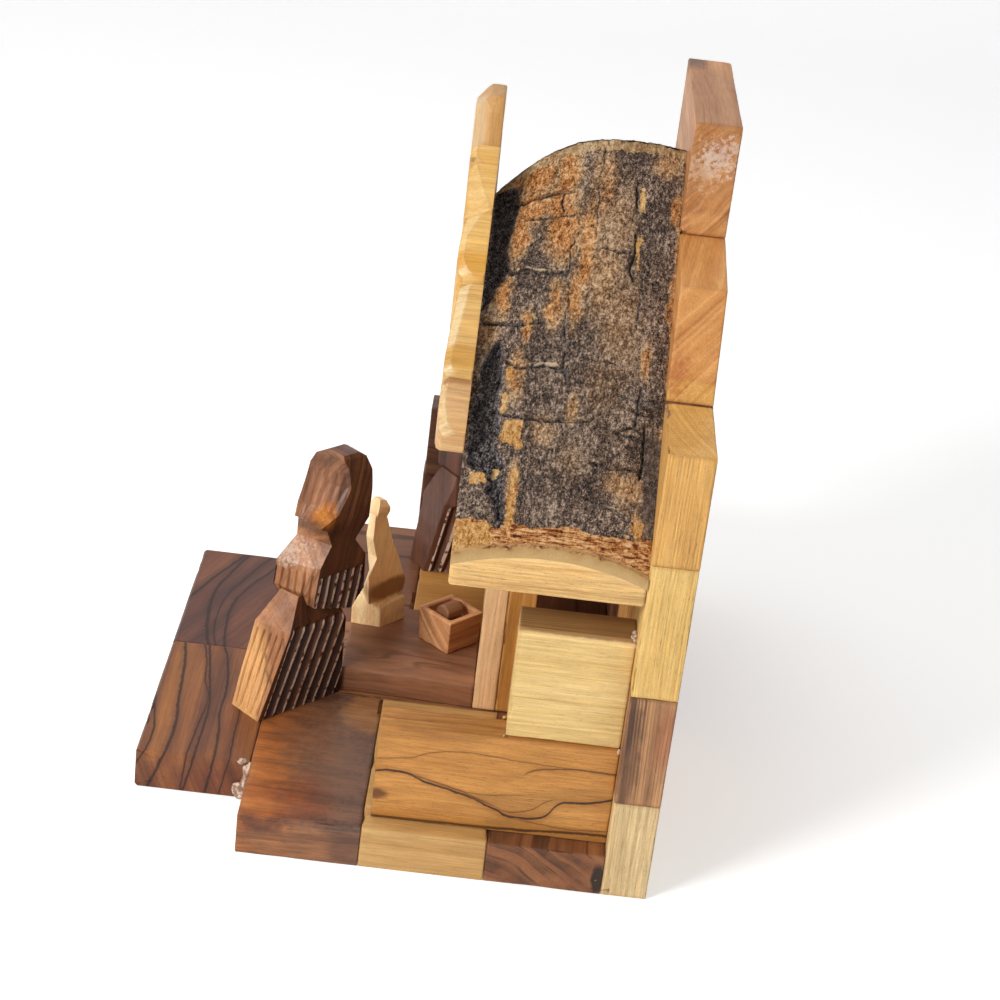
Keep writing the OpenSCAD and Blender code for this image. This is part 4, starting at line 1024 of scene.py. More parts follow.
# The figures repeat the levels that they are cut from. A level is a sloping four-sided section: its back
# and front as shares of the length, near and far side as shares of the thickness, the heights of back and
# front as shares of the height, and how far the near back corner is cut forward.
robeLevels = [(0, 1, 0, 1, 0, 0, 0), (0.22, 0.99, 0, 1, 0.335, 0.325, 0.09), (0.43, 0.94, 0.27, 0.79, 0.46, 0.4, 0.04)]
torsoLevels = [(0.47, 1.04, 0.02, 0.98, 0.425, 0.357, 0.11), (0.4, 1.18, 0, 1, 0.47, 0.43, 0.18),
               (0.42, 1.16, 0, 1, 0.57, 0.58, 0.19), (0.62, 1.04, 0.06, 0.93, 0.655, 0.645, 0.13),
               (0.6, 1.05, 0.07, 0.87, 0.752, 0.708, 0.05)]
headLevels = [(0.555, 1.03, 0.03, 0.87, 0.745, 0.655, 0.025), (0.59, 1.165, 0, 0.9, 0.8, 0.735, 0.19),
              (0.66, 1.175, 0.01, 0.89, 0.895, 0.845, 0.25), (0.69, 1.16, 0.04, 0.87, 0.955, 0.93, 0.19),
              (0.73, 1.1, 0.12, 0.8, 0.992, 0.985, 0.1), (0.79, 1.03, 0.2, 0.72, 1, 1, 0.06)]
legLevels = [(-0.55, 1, 0, 0.8, 0, 0, 0.55), (-0.57, 0.92, 0, 0.8, 0.13, 0.19, 0.52),
             (-0.4, 0.8, 0.1, 0.7, 0.23, 0.23, 0.2)]
kneelingRobeLevels = [(-0.3, 0.85, 0.08, 0.78, 0.21, 0.2, -0.2), (0, 0.97, 0.07, 0.8, 0.39, 0.31, -0.62),
                      (-0.18, 0.67, 0.14, 0.75, 0.55, 0.5, -0.1), (-0.35, 0.4, 0.2, 0.7, 0.7, 0.64, -0.1),
                      (-0.3, 0.15, 0.3, 0.65, 0.88, 0.84, -0.05)]
hoodLevels = [(-0.3, 0.02, 0.3, 0.65, 0.86, 0.82, 0), (-0.33, 0.14, 0.22, 0.72, 0.9, 0.9, 0),
              (-0.3, 0.14, 0.22, 0.72, 0.95, 0.93, 0), (-0.22, 0.02, 0.3, 0.62, 1, 0.985, 0)]


def carvedStack(levels, shape, grooves=(), seed=0):
    # Straight lines join the corners of one level to the next, so every facet is flat; rows of points run
    # round the four sides. A groove row sinks its side by depth times a rounded notch in the distance
    # from the nearest groove, whose middle leans forward with height. Places are local, in mm.
    long, thick, tall = shape["long"], shape["thick"], shape["tall"]
    corners = []
    for back, front, near, far, backUp, frontUp, cut in levels:
        back, front = back - shape["leanBack"] * backUp, front - shape["leanBack"] * backUp
        fall, splay = (frontUp - backUp) / (front - back), shape["splay"]
        corners.append([((back + cut) * long, near * thick, (backUp + cut * fall) * tall),
                        (front * long, near * thick, frontUp * tall), (front * long, far * thick, frontUp * tall),
                        ((back - splay) * long, far * thick, (backUp - splay * fall) * tall)])
    corners = np.array(corners)
    between = []
    for low, high in zip(corners[:-1], corners[1:]):
        rows = max(3, int(np.linalg.norm(high - low, axis=1).mean() / shape["rowGap"]))
        t = np.linspace(0, 1, rows, endpoint=False)[:, None, None]
        between.append(low * (1 - t) + high * t)
    levelRows = np.concatenate(between + [corners[-1:]])
    ring = []
    for i, count in enumerate(shape["counts"]):
        t = np.linspace(0, 1, count, endpoint=False)[None, :, None]
        ring.append(levelRows[:, [i]] * (1 - t) + levelRows[:, [(i + 1) % 4]] * t)
    grid = np.concatenate(ring, axis=1)
    side = np.repeat(np.arange(4), shape["counts"])
    for _ in range(shape["soften"]):
        grid = 0.5 * grid + 0.25 * np.roll(grid, -1, axis=1) + 0.25 * np.roll(grid, 1, axis=1)
    run = levelRows[:, [1, 2, 3, 0]] - levelRows
    outward = np.stack([run[..., 1], -run[..., 0], np.zeros(run.shape[:2])], axis=-1)
    outward /= np.linalg.norm(outward, axis=-1, keepdims=True)
    sunk, crest = np.zeros(grid.shape[:2]), np.zeros(grid.shape[:2])
    up = grid[..., 2] / tall
    wander = waves(grid.reshape(-1, 3) * np.array([1, 1, 0.25]), shape["wanderSize"], seed + 5).reshape(up.shape)
    wander = shape["wander"] * wander
    for sideNumber, start, lean, (foot, head), pitch, width, depth, count in grooves:
        across = sideNumber == 3        # the narrow side's grooves are counted across it
        shift = 0 if across else (grid[..., 2] - foot * tall) * math.tan(math.radians(lean))
        turn = (grid[..., 1 if across else 0] - start - shift + wander) / pitch
        away = np.abs(turn - np.floor(turn) - 0.5) * pitch
        notch = np.clip(1 - away / (width / 2), 0, 1) ** 0.8
        inside = (turn > 0) & (turn < count) & (side == sideNumber)[None]
        reach = easeIn(foot - 0.012, foot + 0.01, up) * easeIn(head + 0.012, head - 0.006, up)
        sunk = np.maximum(sunk, notch * inside * reach * depth)
        # crests between deep grooves carry a painted highlight in the material
        if depth > shape["crestDepth"]:
            crest = np.maximum(crest, easeIn(width / 2 - 0.1, pitch / 2 - 0.1, away) * inside * reach)
    apart = (grid + 40 * side[None, :, None]).reshape(-1, 3)      # so that the sides don't wave alike
    knife = shape["knife"] * (1 + waves(apart, shape["knifeSize"], seed).reshape(sunk.shape))
    grid = grid - outward[:, side] * (sunk + knife)[..., None]
    narrow = np.repeat((side == 3)[None] * 1.0, len(grid), axis=0)
    points = np.concatenate([grid.reshape(-1, 3), [grid[0].mean(axis=0), grid[-1].mean(axis=0)]])
    marks = {key: np.append(value, [0, 0]) for key, value in (("groove", sunk), ("narrow", narrow), ("crest", crest))}
    return points, tubeFaces(*sunk.shape, fans=True), marks


def carvedFigure(node, material, slot, shape, stacks):
    # the stacks of one figure, turned and set down together
    shape = dict(figureShape, **shape)
    turn = math.radians(shape["turn"])
    matrix = np.array([[math.cos(turn), -math.sin(turn), 0], [math.sin(turn), math.cos(turn), 0], [0, 0, 1]])
    cut = [carvedStack(levels, shape, grooves, seedOf(node) + i) for i, (levels, grooves) in enumerate(stacks)]
    points, faces = joined([((local + np.array(shape["local"])) @ matrix.T + np.array(shape["place"]), faces)
                            for local, faces, _ in cut])
    marks = {key: np.concatenate([part[2][key] for part in cut]) for key in cut[0][2]}
    finishPiece(node + "_carved", np.clip(points, *nodeBox(node)), faces, material, node, 32, marks)


beadShape = {"rings": 10, "columns": 16, "swell": 0.28, "swellSize": 2.2, "firstSeed": 70}


def lump(centre, size, seed):
    # a bead of dried glue: an ellipsoid whose radius swells and shrinks with smooth noise
    shape, rings, columns = beadShape, beadShape["rings"], beadShape["columns"]
    down = np.linspace(0, math.pi, rings)[1:-1]
    turn = np.linspace(0, 2 * math.pi, columns, endpoint=False)
    unit = np.stack([np.outer(np.sin(down), np.cos(turn)), np.outer(np.sin(down), np.sin(turn)),
                     np.repeat(np.cos(down)[:, None], columns, axis=1)], axis=-1).reshape(-1, 3)
    unit = np.concatenate([unit, [[0, 0, 1], [0, 0, -1]]])
    swell = 1 + shape["swell"] * waves(unit * 3, shape["swellSize"], seed)
    points = np.array(centre) + unit * np.array(size) * swell[:, None]
    # the rings go from the top down, so the faces turn the other way round
    return points, [face[:1] + face[:0:-1] for face in tubeFaces(rings - 2, columns, fans=True)]


def glueBeads(name, material, beads):
    points, faces = joined([lump(*bead, beadShape["firstSeed"] + i) for i, bead in enumerate(beads)])
    low, high = (np.array(corner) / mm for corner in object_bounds())
    finishPiece(name, np.clip(points, low, high), faces, material, None, 60)


acrossX, backY, upZ = (1, 0, 0), (0, 1, 0), (0, 0, 1)
sap = {"tints": "e9c78c dcb478 bb8c50 9a6c3c", "darkness": 0.4, "bandWidth": 2.2, "lineGap": 1.3,
       "lineStrength": 0.3, "bend": 0.8, "bendSize": 26.0, "edgeTint": "a57a44"}
golden = {"tints": "e2b26a cb9350 9c662f 6e421d", "darkness": 0.45, "bandWidth": 2.6, "lineGap": 1.6,
          "lineStrength": 0.35, "bend": 1.0, "bendSize": 24.0, "edgeTint": "8a5a2c"}
brown = {"tints": "a3714a 865638 5f3a26 2c150b", "darkness": 0.5, "bandWidth": 4.5, "lineGap": 3.0,
         "lineStrength": 0.8, "bend": 1.6, "bendSize": 24.0, "edgeTint": "4a2c1a"}
dark = {"tints": "7d563f 5f3d2d 43291d 24130c", "darkness": 0.5, "bandWidth": 5.0, "lineGap": 3.4,
        "lineStrength": 0.7, "bend": 2.2, "bendSize": 22.0, "edgeTint": "2f1c12"}


def wood(kind, slot, grain, pith, seed, tints="", **more):
    # the look of one piece: its own pale, mid, dark and line tints come before those of its kind
    own = tints.split()
    tints = " ".join(own + kind["tints"].split()[len(own):])
    return slot, {**kind, "grain": grain, "pith": pith, "seed": seed, "tints": tints, **more}


blocks = {
    "base_front_right": wood(brown, "olive_brown", acrossX, (0, 62, 46), 1.3, "9c6234 7d4a29 542e1b", bend=1.3,
        bendSize=30.0, lineStrength=0.3, bandWidth=5.0,
        veins=[
            vein("XY", (24, 34.6, 41.1, 49.2), (-54.9, -53.5, -52.6, -53.0), 0.26, lean=("Z", 9.5, -0.5)),
            vein("XY", (1, 10.2, 19.1, 27.7, 36.0, 42.7, 49.2), (-52.4, -50.8, -50.0, -49.4, -48.5, -48.4, -48.8),
                 0.42, lean=("Z", 9.5, -0.36)),
            vein("XY", (1, 9.1, 17.9, 26.3, 34.9, 43.3, 49.2), (-47.9, -46.0, -45.0, -43.1, -43.5, -43.9, -44.2),
                 0.24, lean=("Z", 9.5, -0.1)),
            vein("XY", (1, 17.7, 28.7, 37.1, 45.4, 49.2), (-46.6, -44.0, -42.5, -42.3, -42.5, -42.4), 0.32,
                 lean=("Z", 9.5, -0.24)),
            vein("XY", (1, 11.5, 22.0, 30.7, 38.8, 49.2), (-43.4, -40.8, -39.7, -39.8, -38.8, -38.3), 0.34,
                 lean=("Z", 9.5, -0.16)),
            vein("XY", (20, 30, 40, 49.2), (-36.8, -35.6, -35.4, -35.0), 0.2, lean=("Z", 9.5, -0.2), fadeIn=0.4)],
        stains=[
            stain((25, -42, 9), (22, 3.2, 5), "75482e 633b29 4b2a1c", soft=0.5, strength=0.7),
            stain((24, -51, 9), (30, 2.6, 3), "a76c35 925b2c 754520", soft=0.5, strength=0.7),
            stain((49, -38, 3), (2, 8, 4), "783d28 67301e 4a2013", soft=0.5, strength=0.6)]),
    "base_front_left": wood(dark, "olive_dark", (-1, 0.5, 0), (0, -90, -60), 2, "804d35 5c3528 3a1f1b", bandWidth=3.4,
        lineStrength=0.25, lineGap=3.0,
        veins=[
            vein("XY", (-44, -33, -22.1, -11.1, 2), (-43.6, -46.9, -49.2, -48.9, -46.8), 0.5, strength=0.8),
            vein("XY", (-44, -42, -31.2, -22.0, -17.5), (-44.6, -45.3, -50.1, -53.5, -55.6), 0.5, strength=0.8),
            vein("XY", (-44, -35.3, -25.9, -17.3, -7.4, 2), (-34.5, -37.9, -42.0, -44.1, -44.1, -43.0), 0.36,
                 strength=0.8),
            vein("XY", (-44, -30, -18, -6, 2), (-38.0, -43.4, -46.6, -46.6, -45.0), 0.26, strength=0.7)],
        stains=[
            stain((-6, -38, 9), (11, 5.5, 6), "834f33 70412b 532e20"),
            stain((-40, -53, 9), (12, 5.5, 6), "835033 70412b 532e20", soft=0.5)]),
    "base_centre": wood(brown, "olive_brown", backY, (-60, 0, -40), 3, "b6814d 905d37 5e3a22"),
    "base_right_front": wood(dark, "olive_brown", (0.06, 1, 0), (40, 0, -50), 4, "724c39 54372a 362019",
        lineStrength=0.3, darkness=0.42, fibre=0.6, mottle=1.3, lineGap=1.6, bandWidth=1.8, bend=0.7, coat=0.3,
        stains=[
            stain((52, -30, 6), (60, 10, 14), "b87030 a15921 793911", soft=0.35, strength=0.95, ragged=0.5,
                  raggedSize=5.0),
            stain((34, -20, 9), (16, 8, 3), "805334 6f452a 4d2e1c", soft=0.6, strength=0.85, ragged=0.5,
                  raggedSize=4.0),
            stain((24, -8, 9.5), (8, 5, 2), "a4713f 936133 744a27", soft=0.3, strength=0.9, ragged=0.4,
                  raggedSize=4.0),
            stain((48, -12, 9.5), (24, 8, 1.4), "8f7462", soft=0.9, strength=0.28, ragged=1.3, raggedSize=0.9),
            stain((62, -19, 9.6), (9, 7, 0.9), "874827 773b1e 5a2914", soft=0.6, strength=0.6, ragged=0.6),
            stain((69, -18, 3.4), (1.5, 13, 5.4), "99673f 865633 5f3720", soft=0.35, strength=0.85, ragged=0.2),
            stain((69, -26, 7.6), (1.2, 6, 1.8), "4f2010 421a0d 2b0f07", soft=0.6, ragged=0.7),
            stain((69, -8, 4.5), (1.2, 3.4, 4), "5c3b2b 4e3023 361f15", soft=0.6, ragged=0.4)]),
    "base_right_middle": wood(sap, "olive_sapwood", backY, (30, 0, -60), 5, "c7a067 b58a51 8f6331"),
    "base_right_back": wood(dark, "olive_dark", acrossX, (0, 8, -42), 6, "a36f44 835232 5e3821",
        stains=[
            # painted shade: a near-black patch stands for a notch that the mesh does not cut
            stain((69, 44.6, 3.6), (2, 1.5, 3.6), "1e1008", soft=0.25, strength=0.95, raggedSize=1.2)]),
    "base_left_front": wood(brown, "olive_brown", backY, (-40, 0, -50), 7, "946138 744527 4b2917"),
    "base_left_middle": wood(golden, "olive_sapwood", backY, (-40, 0, -60), 8, "cda05a b37e3f 82501f"),
    "base_left_back": wood(dark, "olive_dark", acrossX, (0, 10, -42), 9, "875836 613923 3f2313"),
    "platform": wood(brown, "olive_dark", (0.12, 1, 0), (-14, 0, -30), 10, "af7c57 8a5c40 543423", bend=3.4,
        bendSize=15.0, lineStrength=0.5, bandWidth=3.6),
    "right_sill": wood(golden, "olive_brown", backY, (10, 0, 30), 11, "d19a54 bb813f 905a22 2e1a10", lineStrength=0.2,
        lineGap=1.7, bend=1.6, bendSize=18.0, fibre=0.6,
        veins=[
            vein("YZ", (-4, 1, 7, 15, 22, 26, 31, 35.5, 40, 46),
                 (20.6, 21.3, 19.4, 17.5, 14.7, 13.4, 13.9, 18.2, 18.8, 20.5), 0.34, strength=0.95),
            vein("YZ", (2, 7, 12, 18, 24), (21.4, 20.2, 18.9, 16.9, 14.5), 0.14, strength=0.75, fadeIn=0.2,
                 fadeOut=0.2),
            vein("YZ", (21, 25, 29, 33, 37), (15.4, 14.6, 15.6, 18.6, 19.4), 0.14, strength=0.7, fadeIn=0.3,
                 fadeOut=0.4),
            vein("YZ", (24, 30, 36, 42, 46), (13.4, 12.6, 12.0, 12.2, 12.6), 0.16, strength=0.6, fadeIn=0.3),
            vein("YZ", (6, 12, 18, 24, 28, 33), (20.4, 18.8, 18.0, 18.6, 19.2, 20.0), 0.16, strength=0.5, fadeIn=0.2,
                 fadeOut=0.5),
            vein("YZ", (-4, 8, 20, 30, 38, 46), (9.9, 10.0, 10.2, 10.6, 11.2, 11.4), 0.4, strength=0.85),
            vein("YZ", (-4, 3, 10, 16, 26, 36, 46), (23.8, 24.8, 27.2, 27.6, 26.9, 26.6, 26.2), 0.16, strength=0.55),
            vein("YZ", (26, 28, 34, 46), (21.0, 24.8, 26.2, 26.4), 0.2, strength=0.7, fadeIn=0.1)],
        stains=[
            stain((64.5, -3.2, 15.4), (2, 2.4, 1.3), "532912"),
            stain((64.5, 26, 14.6), (2, 6.5, 2.2), "8a5524", soft=0.8, strength=0.55, ragged=0.5),
            stain((60, 20, 32), (5.4, 24, 0.6), "713f1b", strength=0.35, ragged=0.4)]),
    "left_sill": wood(dark, "olive_dark", backY, (-20, 0, 40), 12, "7b5237 583624 392014"),
    "right_wall": wood(sap, "olive_sapwood", backY, (0, 0, 130), 13, "dfbf82 d6b574 c19d5b b58d50", lineStrength=0.4,
        bandWidth=1.4, lineGap=0.9, bend=0.5,
        stains=[
            # painted shade: dark brown along the top of the wall, in the shadow under the eave
            stain((58, 33, 58.4), (16, 40, 1.9), "784a23 683c1e 472711", soft=0.2, ragged=0.15)]),
    "left_wall": wood(dark, "olive_dark", backY, (-20, 0, 80), 14, "7c563c 593928 392217"),
    "right_post_front": wood(sap, "olive_sapwood", upZ, (60, 40, 0), 15, "fdd5a3 e9ba87 b68654 8a5c34"),
    # the back post's darker amber tints are painted shade: it stands back, in the shade of the front post
    "right_post_back": wood(golden, "olive_golden", upZ, (60, 40, 0), 16, "e9b76b be813d 84501c 5b3212"),
    "left_post_front": wood(sap, "olive_sapwood", upZ, (-60, 40, 0), 17, "fdd5a3 e9ba87 b68654"),
    # mirrors the right side, so this back post's darker tints are painted shade as well
    "left_post_back": wood(golden, "olive_golden", upZ, (-60, 40, 0), 18, "e9b76b be813d 84501c"),
    "board_right_foot": wood(sap, "olive_sapwood", upZ, (30, 120, 0), 19, "dbc191 cdaf7e b3925f a5845a", lineGap=0.5,
        bandWidth=0.8, bend=0.4, darkness=0.42, fibre=0.6),
    "board_right_dark": wood(brown, "olive_dark", upZ, (20, 90, 0), 20, "e0ac7c ac7d54 65432e 2c1a13", bandWidth=1.5,
        lineGap=0.9, bend=0.7, lineStrength=0.7, fibre=0.6,
        stains=[
            stain((69, 54, 39), (3, 2.4, 8), "ad7654 985f40 74452e", soft=0.5, strength=0.7, ragged=0.3),
            stain((69, 47, 33), (3, 2.0, 14), "6d4b36 5a3b2b 3f281e", strength=0.7, ragged=0.4)]),
    "board_right_pale": wood(sap, "olive_sapwood", upZ, (30, 120, 0), 21, "e0bd78 d4ab62 bc8f48 b0864a", lineGap=0.5,
        bandWidth=0.8, bend=0.4, darkness=0.42, fibre=0.6),
    "board_right_shoulder": wood(golden, "olive_golden", upZ, (30, 120, 0), 22, "daaa63 cc9851 b17b36 a2702f",
        lineGap=0.55, bandWidth=0.9, bend=0.4, lineStrength=0.4, darkness=0.42, fibre=0.6),
    "board_left_foot": wood(sap, "olive_sapwood", upZ, (-30, 120, 0), 23, "e5c78c d6b074 af8146"),
    "board_left_dark": wood(brown, "olive_dark", upZ, (-20, 90, 0), 24, "cc9058 a1683f 6b4128"),
    "board_left_pale": wood(sap, "olive_sapwood", upZ, (-30, 120, 0), 25, "e4bf7e d4a968 ae7c3f"),
    "board_left_shoulder": wood(golden, "olive_golden", upZ, (-30, 120, 0), 26, "dcac60 c18844 8c5722"),
    "board_panel_lower_right": wood(golden, "olive_golden", upZ, (10, 100, 0), 27),
    "board_panel_lower_left": wood(brown, "olive_brown", upZ, (-10, 100, 0), 28),
    "board_panel_upper_right": wood(brown, "olive_brown", upZ, (20, 90, 0), 29),
    "board_panel_upper_left": wood(golden, "olive_golden", upZ, (-20, 90, 0), 30),
    "board_tier_right": wood(golden, "olive_golden", acrossX, (0, 130, 40), 31, "d49d5e bf8246 9a5f29 8c4522",
        lineStrength=0.3, lineGap=1.1, bandWidth=1.8, bend=0.6,
        stains=[
            stain((44.5, 50, 102.2), (4, 9, 3.6), "d6a85f cd9b4f bb863a", soft=0.14, ragged=0.15, raggedSize=6.0),
            stain((44.5, 47, 108), (3, 2.6, 6), "994b22", soft=0.5, strength=0.5, ragged=1.1, raggedSize=0.9)]),
    "board_tier_left": wood(golden, "olive_golden", upZ, (-60, 110, 60), 32, "d8aa5d bd8642 895521"),
    "board_peak": wood(golden, "olive_brown", acrossX, (0, 120, 70), 33, "cc9661 b17742 7e4723 6b351b",
        lineStrength=0.4, lineGap=1.5, bandWidth=2.2, bend=1.4, bendSize=12.0,
        stains=[
            stain((14, 51.6, 142.6), (2, 3.2, 2.6), "dccabf", soft=0.6, strength=0.45, ragged=2.2, raggedSize=0.9),
            stain((14, 48.4, 139.6), (2, 3.2, 2.6), "d0b49a", soft=0.6, strength=0.45, ragged=2.2, raggedSize=0.9),
            stain((14, 50, 128), (2, 8, 2.2), "d39b63 c78e55 aa723c", ragged=0.3, raggedSize=4.0),
            stain((-34, 47, 149), (5, 2.6, 3), "39261d", ragged=0.4, raggedSize=2.0),
            stain((-5, 50, 149), (30, 12, 0.8), "b17f55 9e6b42 7f512f", soft=0.3, ragged=0.1)]),
    "fascia_peak": wood(golden, "olive_golden", upZ, (30, 60, 0), 34, "c19662 b38449 986b3b 98683c", lineGap=1.2,
        lineStrength=0.2,
        stains=[
            stain((4, 0.4, 140), (6, 3.2, 12), "cbaf89 c4a57b b39166", soft=0.15, ragged=0.05)]),
    "fascia_right_top": wood(golden, "olive_golden", backY, (-40, 0, 160), 35, "d1a761 c8994e b27d32 b1802f",
        lineStrength=0.25, coat=0.3, darkness=0.4,
        stains=[
            marked("bevel", "cea96c c59d5b b48844", 0.8),
            stain((8.4, 1.2, 134.4), (0.6, 1.0, 0.8), "41280e", soft=0.3, ragged=0.5, raggedSize=0.8)]),
    "fascia_right_upper": wood(golden, "olive_golden", backY, (-40, 0, 160), 36, "d2a85f c9994a b47c2b b1802f",
        lineStrength=0.2, coat=0.3, darkness=0.4,
        stains=[
            marked("bevel", "d9ba83 d1ad71 be9451", 0.8),
            stain((26.5, 4, 119), (2.4, 8, 2.4), "ca932c be8426 a36d1a", soft=0.5, ragged=0.2)]),
    "fascia_right_middle": wood(golden, "olive_golden", backY, (-40, 0, 160), 37, "cda560 c39650 a07234 98672f",
        lineStrength=0.25, lineGap=0.8, coat=0.3, darkness=0.4,
        stains=[
            marked("bevel", "d8c095 d2b584 c29e6a", 0.9),
            stain((42.6, 4, 105), (2.4, 8, 2.6), "c28d2c b37f25 966418", soft=0.5, ragged=0.2)]),
    "fascia_right_low": wood(sap, "olive_sapwood", backY, (0, 0, 40), 38, "cda572 bf915c 9b6c39 99693a",
        lineStrength=0.4, lineGap=0.7, coat=0.2,
        stains=[
            marked("bevel", "cdb183 c5a574 af8959", 0.8),
            # painted shadow: a brown band at the inner end, under the lip of the piece above
            stain((45.6, 4, 101), (0.8, 8, 1.2), "966434 87572c 69401d", ragged=0.2)]),
    "fascia_left_top": wood(golden, "olive_golden", (1, 0, 1), (0, 90, 60), 39, "d09e56 b67d3c 844f1e"),
    "fascia_left_upper": wood(golden, "olive_golden", (1, 0, 0.8), (0, 90, 60), 40, "dbb26c ce9a4a b37c2b"),
    "fascia_left_middle": wood(golden, "olive_golden", (1, 0, 0.6), (0, 90, 60), 41, "d0a15a b6803f 845120"),
    "fascia_left_low": wood(sap, "olive_sapwood", (1, 0, 0), (0, 70, 50), 42, "cdad72 bf995e 9d7038"),
    "standing_figure": wood(brown, "olive_brown", (-0.2, 0.15, 1), (60, -60, 0), 43, "80492f 54301f 31190f 1e100a",
        coat=0.2, roughness=0.42, shine=0.2, lineGap=1.8, bandWidth=2.4, lineStrength=0.5, bend=0.8, carved=0.8,
        bump=0.2, fibre=0.6,
        stains=[
            # painted light: the narrow side, which faces the key lamp, is painted much paler than the broad sides
            marked("narrow", "c78f62 a46d46 694027", 0.9),
            stain((21, -21, 62), (12, 12, 9), "a87351 7f533a 4a2d1d", strength=0.75),
            stain((27, -36, 16), (9, 6, 15), "f0bb80 dba467 b17a43", soft=0.2, ragged=0.1),
            stain((20.4, -21.4, 55.6), (2.8, 3.4, 3.8), "c98430 a8621f 6a360f", soft=0.35, strength=0.95),
            stain((22, -31, 45.5), (6, 6, 3.2), "cdb8a6", soft=0.5, strength=0.5, ragged=1.5, raggedSize=0.9),
            # painted shade: a dark band round the neck, under the overhang of the head
            stain((20, -25, 51.4), (6, 6, 2.0), "2a140c", soft=0.5, strength=0.65, ragged=0.4, raggedSize=1.5),
            stain((22, -30, 66.5), (9, 9, 2.4), "4a2d20 3b2218 2a170f", soft=0.5, ragged=0.4),
            # painted shade: near black low on the broad side, which faces away from the key lamp
            stain((17, -12, 10), (11, 9, 9), "120906", soft=0.6, strength=0.75)]),
    "waiting_figure": wood(dark, "olive_dark", upZ, (-60, 60, 0), 44, "7d5038 593524 331b12", coat=0.3,
        roughness=0.42, lineStrength=0.5, lineGap=1.8, bandWidth=2.4, bend=0.8, carved=0.4),
    "kneeling_figure": wood(sap, "olive_sapwood", (-0.2, 0.1, 1), (60, 60, 0), 45, "fde0aa f6cb94 d2a067 8a5f34",
        coat=0.25, roughness=0.42, bend=0.6,
        stains=[
            # painted shade: a darker amber band on the facet under the widest part of the robe, which faces down
            stain((-6, -5, 24.6), (9, 9, 2.6), "9c6632 7d4f24 633b17", soft=0.3, strength=0.85)]),
    "manger": wood(golden, "olive_brown", (-1, 1, 0), (0, 60, 60), 46, "e4ad76 bb8054 7c4d2f 4b2b18"),
    "swaddled_child": wood(brown, "olive_sapwood", (-1, 1, 0), (0, 60, 60), 47, "a87a56 8c6040 6b452c"),
}


def bothSides(*groove):
    # the same row of grooves on the two long sides
    return [(side, *groove) for side in (0, 2)]


# A figure has its size, how it is turned and set down, and its stacks: the levels of each and its rows
# of grooves. A row is side, start, lean in degrees, span of the height, pitch, width, depth and count.
figureShape = {"rowGap": 0.3, "soften": 2, "counts": (110, 36, 110, 60), "splay": 0, "leanBack": 0,
               "local": (0, 0, 0), "crestDepth": 0.6, "knife": 0.11, "knifeSize": 4.5, "wander": 0.12,
               "wanderSize": 2.5}
figures = {
    "standing_figure": (
        {"long": 24, "thick": 9.6, "tall": 58.5, "turn": 137, "local": (-24.3, -0.7, 0), "place": (15, -15, 9.5)},
        ((robeLevels, bothSides(1.3, 20, (0, 0.342), 2.9, 2.1, 0.95, 7)
          + [(3, 0.5, 0, (0.01, 0.31), 1.75, 0.6, 0.45, 5)]),
         (torsoLevels, bothSides(11.5, 8, (0.34, 0.53), 2.3, 1.5, 0.9, 7)
          + [(3, 0.7, 0, (0.4, 0.54), 1.6, 0.6, 0.4, 6)]),
         (headLevels, [(3, 0.6, 0, (0.68, 0.93), 1.55, 1.1, 0.22, 5), (0, 15, 12, (0.62, 0.93), 3.1, 2.6, 0.22, 5)]))),
    "waiting_figure": (
        {"long": 22, "thick": 6.6, "tall": 56, "turn": 93, "place": (-46.4, -0.7, 9.5), "splay": 0.16,
         "leanBack": 0.42, "counts": (90, 28, 90, 40)},
        ((robeLevels, bothSides(1.3, 11, (0, 0.32), 2.8, 1.6, 0.8, 7)),
         (torsoLevels, bothSides(7, 0, (0.34, 0.53), 2.4, 1.4, 0.7, 6)), (headLevels, ()))),
    "kneeling_figure": (
        {"long": 7.7, "thick": 7, "tall": 32.5, "turn": 137, "place": (-5.1, -8.2, 15.3), "soften": 1,
         "counts": (44, 30, 44, 30)},
        ((legLevels, ()), (kneelingRobeLevels, ()), (hoodLevels, ()))),
}

# pieces that are worn copies of their solids, with the size of the voxels
wornPieces = {"manger": 0.3, "swaddled_child": 0.3, "fascia_peak": 0.35, "left_sill": 0.4}

for n, (slot, look) in blocks.items():
    material = woodMaterial(n + "_look", look)
    if n in figures:
        carvedFigure(n, material, slot, *figures[n])
    elif n in wornPieces:
        wornCopy(n, material, wornPieces[n])
    elif n in fasciaPieces:
        fasciaPiece(n, material)
    else:
        sawnBlock(n, material, 2 if n == "platform" else 1 if n.startswith("board_") or "_post_" in n else None)
print("planks made")

for side, seed in (("right", 100), ("left", 500)):
    slabWedge(side, slabMaterial(side))
    barkSheet(side, barkMaterial(side), seed)
print("roof made")


def glueMaterial(name, tint):
    # dried glue: cloudy and glossy, with dust caught in it
    material, tree, shader = newMaterial(name)
    cloud = noise(tree, placeInMm(tree), 1.1, 4.0)
    colour = mixed(tree, steps(tree, cloud, 0.42, 0.6), srgb("8a6a52"), srgb(tint))
    dress(tree, shader, colour, cloud, 0.6, 0.4, Roughness=0.4, Subsurface_Weight=0.15,
          Subsurface_Radius=(0.0008, 0.0006, 0.0004))
    return material


